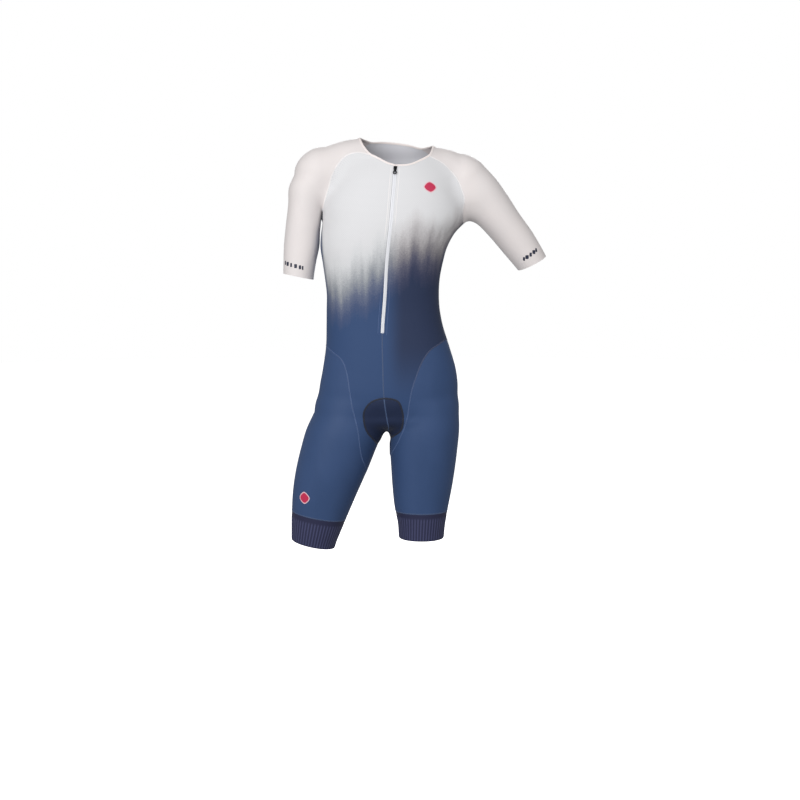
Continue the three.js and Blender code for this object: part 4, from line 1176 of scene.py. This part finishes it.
def flat_seam(name, line, closed=False, look="seam"):
    keep(strip(f"{name}_ribbon", line, FLAT_SEAM, LOOKS[look], closed), "front")
    points = onto(at_equal_steps(np.concatenate([line, line[:1]]) if closed else line, LADDER_PITCH), 3)
    across = unit(np.cross(outward(points), np.gradient(points, axis=0))) * SEAM_HALF * 0.9
    starts = np.concatenate([points[:-1] - across[:-1], points[:-1] + across[:-1]])
    ends = np.concatenate([points[1:] + across[1:], points[1:] - across[1:]])
    keep(stitches(f"{name}_threads", lifted(onto(starts, 2), 0.14), lifted(onto(ends, 2), 0.14), 0.2, 0.3,
                  LOOKS[look]), "front")


for side in SIGN:
    sleeve, leg, seams = sleeve_rows[side], leg_rows[side], SEAMS[side]
    flat_seam(f"raglan_front_{side}", fine_line(sleeve[:RAGLAN + 1, 0]))
    flat_seam(f"raglan_back_{side}", fine_line(sleeve[:RAGLAN + 1, -1]))
    flat_seam(f"underarm_{side}", fine_line(sleeve[RAGLAN:, 0]))
    flat_seam(f"side_{side}", fine_line(whole_curve(seams["side"], SIDE)))
    flat_seam(f"hip_front_{side}", fine_line(leg[0, :HIP + 1]))
    flat_seam(f"hip_back_{side}", fine_line(np.concatenate([leg[0, HIP:], leg[0, :1]])))
    flat_seam(f"inseam_{side}", fine_line(inseams[side][[0, 2, 4, 6, 8]]))
    flat_seam(f"band_seam_{side}", fine_line(leg[-1], True), True, "navy_thread")
line = fine_line(middle)
flat_seam("middle_seam", line[ZIP * DETAIL + 4:], look="navy_thread")


# Zip
zip_line = line[:ZIP * DETAIL + 3]
zip_line[0] = zip_line[0] + unit(zip_line[1] - zip_line[0]) * TAPE_BELOW_NECK
TAPE_SECTION = [
    (0.2, TAPE_FRONT - TAPE_THICK), (0.2, TAPE_FRONT + 0.35), (0.9, TAPE_FRONT + 0.62),
    (1.8, TAPE_FRONT + 0.5), (2.4, TAPE_FRONT + 0.05), (4.5, TAPE_FRONT), (7.5, TAPE_FRONT),
    (HALF_TAPE, TAPE_FRONT), (HALF_TAPE, TAPE_FRONT - TAPE_THICK), (5, TAPE_FRONT - TAPE_THICK),
]
SLOT_ROLL = [(-0.85, -0.9), (-0.95, -0.3), (-0.6, 0.15), (0, 0.32), (0.6, 0.2), (0.95, -0.1), (0.9, -0.9)]
for side in SIGN:
    tape = strip(f"zip_tape_cloth_{side}", zip_line, TAPE_SECTION, LOOKS["tape"], sign=(SIGN[side], 0, 0))
    keep(tape, "zip_tape", f"zip_tape_{side}")


def zip_row(name, starts, ends, height, thickness):
    threads = stitches(name, lifted(starts, height), lifted(ends, height), 0.5, thickness, LOOKS["coil"])
    keep(threads, "zip_tape")


def zip_teeth():
    """Small blocks in the groove between the tapes, from either side in turn, and the coil behind it."""
    points = onto(at_equal_steps(zip_line[2:], TOOTH_PITCH), 3)
    across = unit(np.cross(outward(points), np.gradient(points, axis=0)))
    side = np.where(np.arange(len(points)) % 2 == 0, 1, -1)[:, None]
    zip_row("zip_teeth", points - across * side * 0.9, points + across * side * 0.5, TAPE_FRONT + 0.2, 0.28)
    zip_row("zip_coil", points - across * 2.1, points + across * 2.1, TAPE_FRONT - TAPE_THICK, 0.3)


zip_teeth()
COVER_SEAM = [(-0.6, -0.3), (-0.6, 0.04), (-0.3, 0.22), (0.3, 0.22), (0.6, 0.04), (0.6, -0.3)]
for side in SIGN:
    slot = beside(line[:ZIP * DETAIL + 2], SIGN[side], HALF_SLOT)
    keep(strip(f"slot_roll_{side}", slot, SLOT_ROLL, LOOKS["front"], sign=(SIGN[side], 0, 0)), "front")
    edge = beside(line[1:ZIP * DETAIL + 1], SIGN[side], HALF_SLOT + 1.9)
    keep(stitch_line(f"slot_stitches_{side}", edge, LOOKS["seam"]), "front")
    box = beside(line[1:ZIP * DETAIL + 4], SIGN[side], HALF_TAPE - 0.6)
    keep(strip(f"box_seam_{side}", box, COVER_SEAM, LOOKS["seam"]), "front")
end = line[ZIP * DETAIL + 3]
end_across = beside(line[ZIP * DETAIL + 2:ZIP * DETAIL + 5], 1, HALF_TAPE - 1)[1] - end
for i, step in enumerate((0, -1.6)):
    away = unit(line[ZIP * DETAIL + 4] - end) * step
    bar = onto(np.linspace(end - end_across, end + end_across, 9) + away)
    keep(stitch_line(f"zip_end_stitches_{i}", bar, LOOKS["seam"]), "front")


def fine_metal(node, body):
    """The node's own shape with its edges rounded."""
    piece = bpy.data.objects.new(f"{node}_metal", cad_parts[node].data.copy())
    bpy.context.scene.collection.objects.link(piece)
    weld = piece.modifiers.new("Weld", "WELD")
    weld.merge_threshold = 1e-6
    bevel = piece.modifiers.new("Bevel", "BEVEL")
    bevel.width = 0.22 * MM
    bevel.segments = 3
    bevel.limit_method = "ANGLE"
    bevel.angle_limit = math.radians(35)
    bpy.context.view_layer.update()
    mesh = bpy.data.meshes.new_from_object(piece.evaluated_get(bpy.context.evaluated_depsgraph_get()))
    piece.modifiers.clear()
    piece.data = mesh
    mesh.materials.clear()
    mesh.materials.append(LOOKS["metal"])
    mesh.shade_smooth()
    mesh.set_sharp_from_angle(angle=math.radians(40))
    return keep(piece, "zip_metal", node, body=body)


fine_metal("zip_slider", "suit")
fine_metal("zip_pull", "pull_tab")

# Neck binding: a fold of cloth over the panels' edge, open at the zip
ends = [along_curve(neck_curve, start, end, lambda far: [BINDING_FROM_MIDDLE])
        for start, end in ((0, neck_at["front_right"]), (neck_at["end"], neck_at["front_left"]))]
ring = np.concatenate([
    ends[0], neck_arcs["front_right"][[0, *range(2, FRONT_COLUMNS + 2)]],
    neck_arcs["shoulder_right"][1:], neck_arcs["back"][1:], neck_arcs["shoulder_left"][1:],
    neck_arcs["front_left"][[*range(FRONT_COLUMNS, 1, -1), 0]], ends[1]])
neck_line = fine_line(ring)
BINDING_SECTION = [
    (0.15, -0.9), (0.1, 0.42), (0.9, 0.6), (2.6, 0.62), (4.0, 0.5), (4.8, 0.1), (5.05, -0.6), (4.8, -1.25),
    (4.0, -1.6), (2.6, -1.7), (0.9, -1.7), (0.1, -1.5),
]
keep(strip("neck_binding_cloth", neck_line, BINDING_SECTION, LOOKS["binding"], sign=(0, 0, 1)), "binding",
     "neck_binding")


def along_neck(rise):
    up = np.cross(outward(neck_line), np.gradient(neck_line, axis=0))
    up = unit(up * np.where(up[:, 2:] < 0, -1, 1))
    return onto(neck_line + up * rise)


keep(stitch_line("neck_stitches", along_neck(1.3), LOOKS["white_thread"], 0.8), "binding")


# Seat pad
def seat_pad():
    """A foam pad behind the crotch, thin at its edges, with a channel down its middle."""
    bottom = RAGLAN + SIDE + HIP
    half_back = FRONT_COLUMNS + 1
    coarse = {side: grid[::DETAIL, DETAIL::DETAIL] for side, grid in fronts.items()}
    rows = []
    for i in range(bottom - PAD_ROWS["front"], bottom):
        right = coarse["right"][i][:PAD_COLUMNS][::-1]
        rows.append(np.concatenate([right, middle[i][None], coarse["left"][i][:PAD_COLUMNS]]))
    for i in range(PAD_ROWS["back"] + 1):
        rows.append(back_rows[bottom - i][half_back - PAD_COLUMNS:half_back + PAD_COLUMNS + 1])
    grid = finer_grid(np.array(rows))
    u = np.linspace(-1, 1, grid.shape[1])[None]
    v = np.linspace(-1, 1, grid.shape[0])[:, None]
    rim = np.maximum(np.abs(u), np.abs(v)**4)
    thick = PAD_RIM_THICK + (PAD_THICK - PAD_RIM_THICK) * smooth_step(-rim, -1, -0.55)
    channel = np.exp(-(u / PAD_CHANNEL_HALF)**2) * smooth_step(-np.abs(v), -0.85, -0.6)
    thick = thick - PAD_CHANNEL_DEPTH * channel
    ways = outward(grid)
    front = -(CLOTH + PAD_GAP)
    rise = np.minimum(relief(grid), PAD_MOST_RISE)
    outer = grid + ways * (rise + front)[..., None]
    inner = grid + ways * (rise + front - thick)[..., None]
    return shell("seat_pad_foam", outer, inner, LOOKS["fleece"])


pad = keep(seat_pad(), "pad", "seat_pad")
PAD_SEAM = [(-2.3, -0.4), (-2.2, 0.15), (-1.1, 0.5), (1.1, 0.5), (2.2, 0.15), (2.3, -0.4)]
keep(strip("pad_outline", pad_ring, PAD_SEAM, LOOKS["pad_thread"], True), "pad")


# Generic marks
def mark(name, centre, half_wide, half_high, lift, material, power=1.5):
    """A thin rounded patch on the cloth."""
    centre = onto(np.array([centre], float))[0]
    out = outward(centre)
    wide = unit(np.cross((0, 0, 1), out)) * -1
    high = np.cross(out, wide)
    angle = np.linspace(0, 2 * np.pi, 48, endpoint=False)
    x = np.sign(np.cos(angle)) * np.abs(np.cos(angle))**(2 / power) * half_wide
    y = np.sign(np.sin(angle)) * np.abs(np.sin(angle))**(2 / power) * half_high
    share = np.linspace(0.08, 1, 8)[:, None, None]
    grid = onto(centre + share * (x[:, None] * wide + y[:, None] * high))
    top = lifted(grid, lift)
    low = lifted(grid, -0.2)
    rows, columns = grid.shape[:2]
    count = rows * columns
    faces = grid_faces(rows, columns, True) + [face[::-1] for face in grid_faces(rows, columns, True, count)]
    faces += [[(rows - 1) * columns + j, (rows - 1) * columns + j + count,
               (rows - 1) * columns + (j + 1) % columns + count, (rows - 1) * columns + (j + 1) % columns]
              for j in range(columns)]
    faces += [list(reversed(range(columns))), [count + j for j in range(columns)]]
    points = np.concatenate([top.reshape(-1, 3), low.reshape(-1, 3)])
    return keep(mesh_object(name, points, facing_out(points, faces), material), "front")


for name, (centre, wide, high) in (("chest_mark", CHEST_MARK), ("thigh_mark", THIGH_MARK)):
    mark(f"{name}_rim", centre, wide, high, 0.14, LOOKS["rose"])
    mark(f"{name}_field", centre, wide - MARK_RIM, high - MARK_RIM, 0.22, LOOKS["crimson"])

for side, places in HEM_MARKS.items():
    start, end = np.array(places["start"], float), np.array(places["end"], float)
    total = sum(places["widths"])
    gap = (np.linalg.norm(end - start) - total) / (len(places["widths"]) - 1)
    at = 0
    for i, width in enumerate(places["widths"]):
        centre = start + unit(end - start) * (at + width / 2)
        mark(f"hem_mark_{side}_{i}", centre, width / 2, HEM_MARK_HEIGHT / 2, 0.12, LOOKS["ink"], 6)
        at += width + gap


# Camera, floor and light
camera = bpy.data.objects.new("camera", bpy.data.cameras.new("camera"))
camera.location = CAMERA_PLACE
camera.rotation_euler = (math.radians(90 - CAMERA_PITCH), 0, 0)
camera.data.lens = CAMERA_LENS
camera.data.sensor_width = CAMERA_SENSOR
bpy.context.scene.collection.objects.link(camera)
bpy.context.scene.camera = camera


def floor():
    angle = np.linspace(0, 2 * np.pi, FLOOR_CORNERS, endpoint=False)
    flat = np.stack([np.cos(angle), np.sin(angle)], 1) * FLOOR_RADIUS / MM
    points = np.column_stack([flat, np.full(FLOOR_CORNERS, FLOOR / MM)])
    look = Look("studio_floor", Roughness=0.8, Emission_Color=(1, 1, 1, 1), Emission_Strength=0.9)
    grain = look.noise(look.place()[0], (1, 1, 1), 6, 2)
    material = look.finish(look.mixed(grain, srgb("#f4f4f4"), srgb("#f8f8f8")))
    piece = mesh_object("floor", points, [list(range(FLOOR_CORNERS))], material)
    piece.visible_diffuse = False
    piece.visible_glossy = False


def light(name, place, size, power):
    lamp = bpy.data.lights.new(name, "AREA")
    lamp.shape = "SQUARE"
    lamp.size = size
    lamp.energy = power
    holder = bpy.data.objects.new(name, lamp)
    holder.location = place
    way = np.array(LIGHTS_AIM, float) - np.array(place, float)
    yaw = math.atan2(way[0], -way[1])
    pitch = math.atan2(math.hypot(way[0], way[1]), -way[2])
    holder.rotation_euler = (pitch, 0, yaw + math.pi)
    bpy.context.scene.collection.objects.link(holder)


def studio():
    """An even pale room: soft on the cloth, white behind it."""
    world = bpy.data.worlds.new("studio")
    world.use_nodes = True
    tree = world.node_tree
    soft = tree.nodes["Background"]
    soft.inputs["Color"].default_value = (1, 1, 1, 1)
    soft.inputs["Strength"].default_value = ROOM_LIGHT
    white = tree.nodes.new("ShaderNodeBackground")
    white.inputs["Color"].default_value = (1, 1, 1, 1)
    seen = tree.nodes.new("ShaderNodeLightPath")
    chosen = tree.nodes.new("ShaderNodeMixShader")
    tree.links.new(seen.outputs["Is Camera Ray"], chosen.inputs[0])
    tree.links.new(soft.outputs[0], chosen.inputs[1])
    tree.links.new(white.outputs[0], chosen.inputs[2])
    tree.links.new(chosen.outputs[0], tree.nodes["World Output"].inputs["Surface"])
    bpy.context.scene.world = world


floor()
studio()
for name, values in LIGHTS.items():
    light(name, *values)
bpy.context.scene.view_settings.view_transform = "Standard"

bpy.context.view_layer.update()
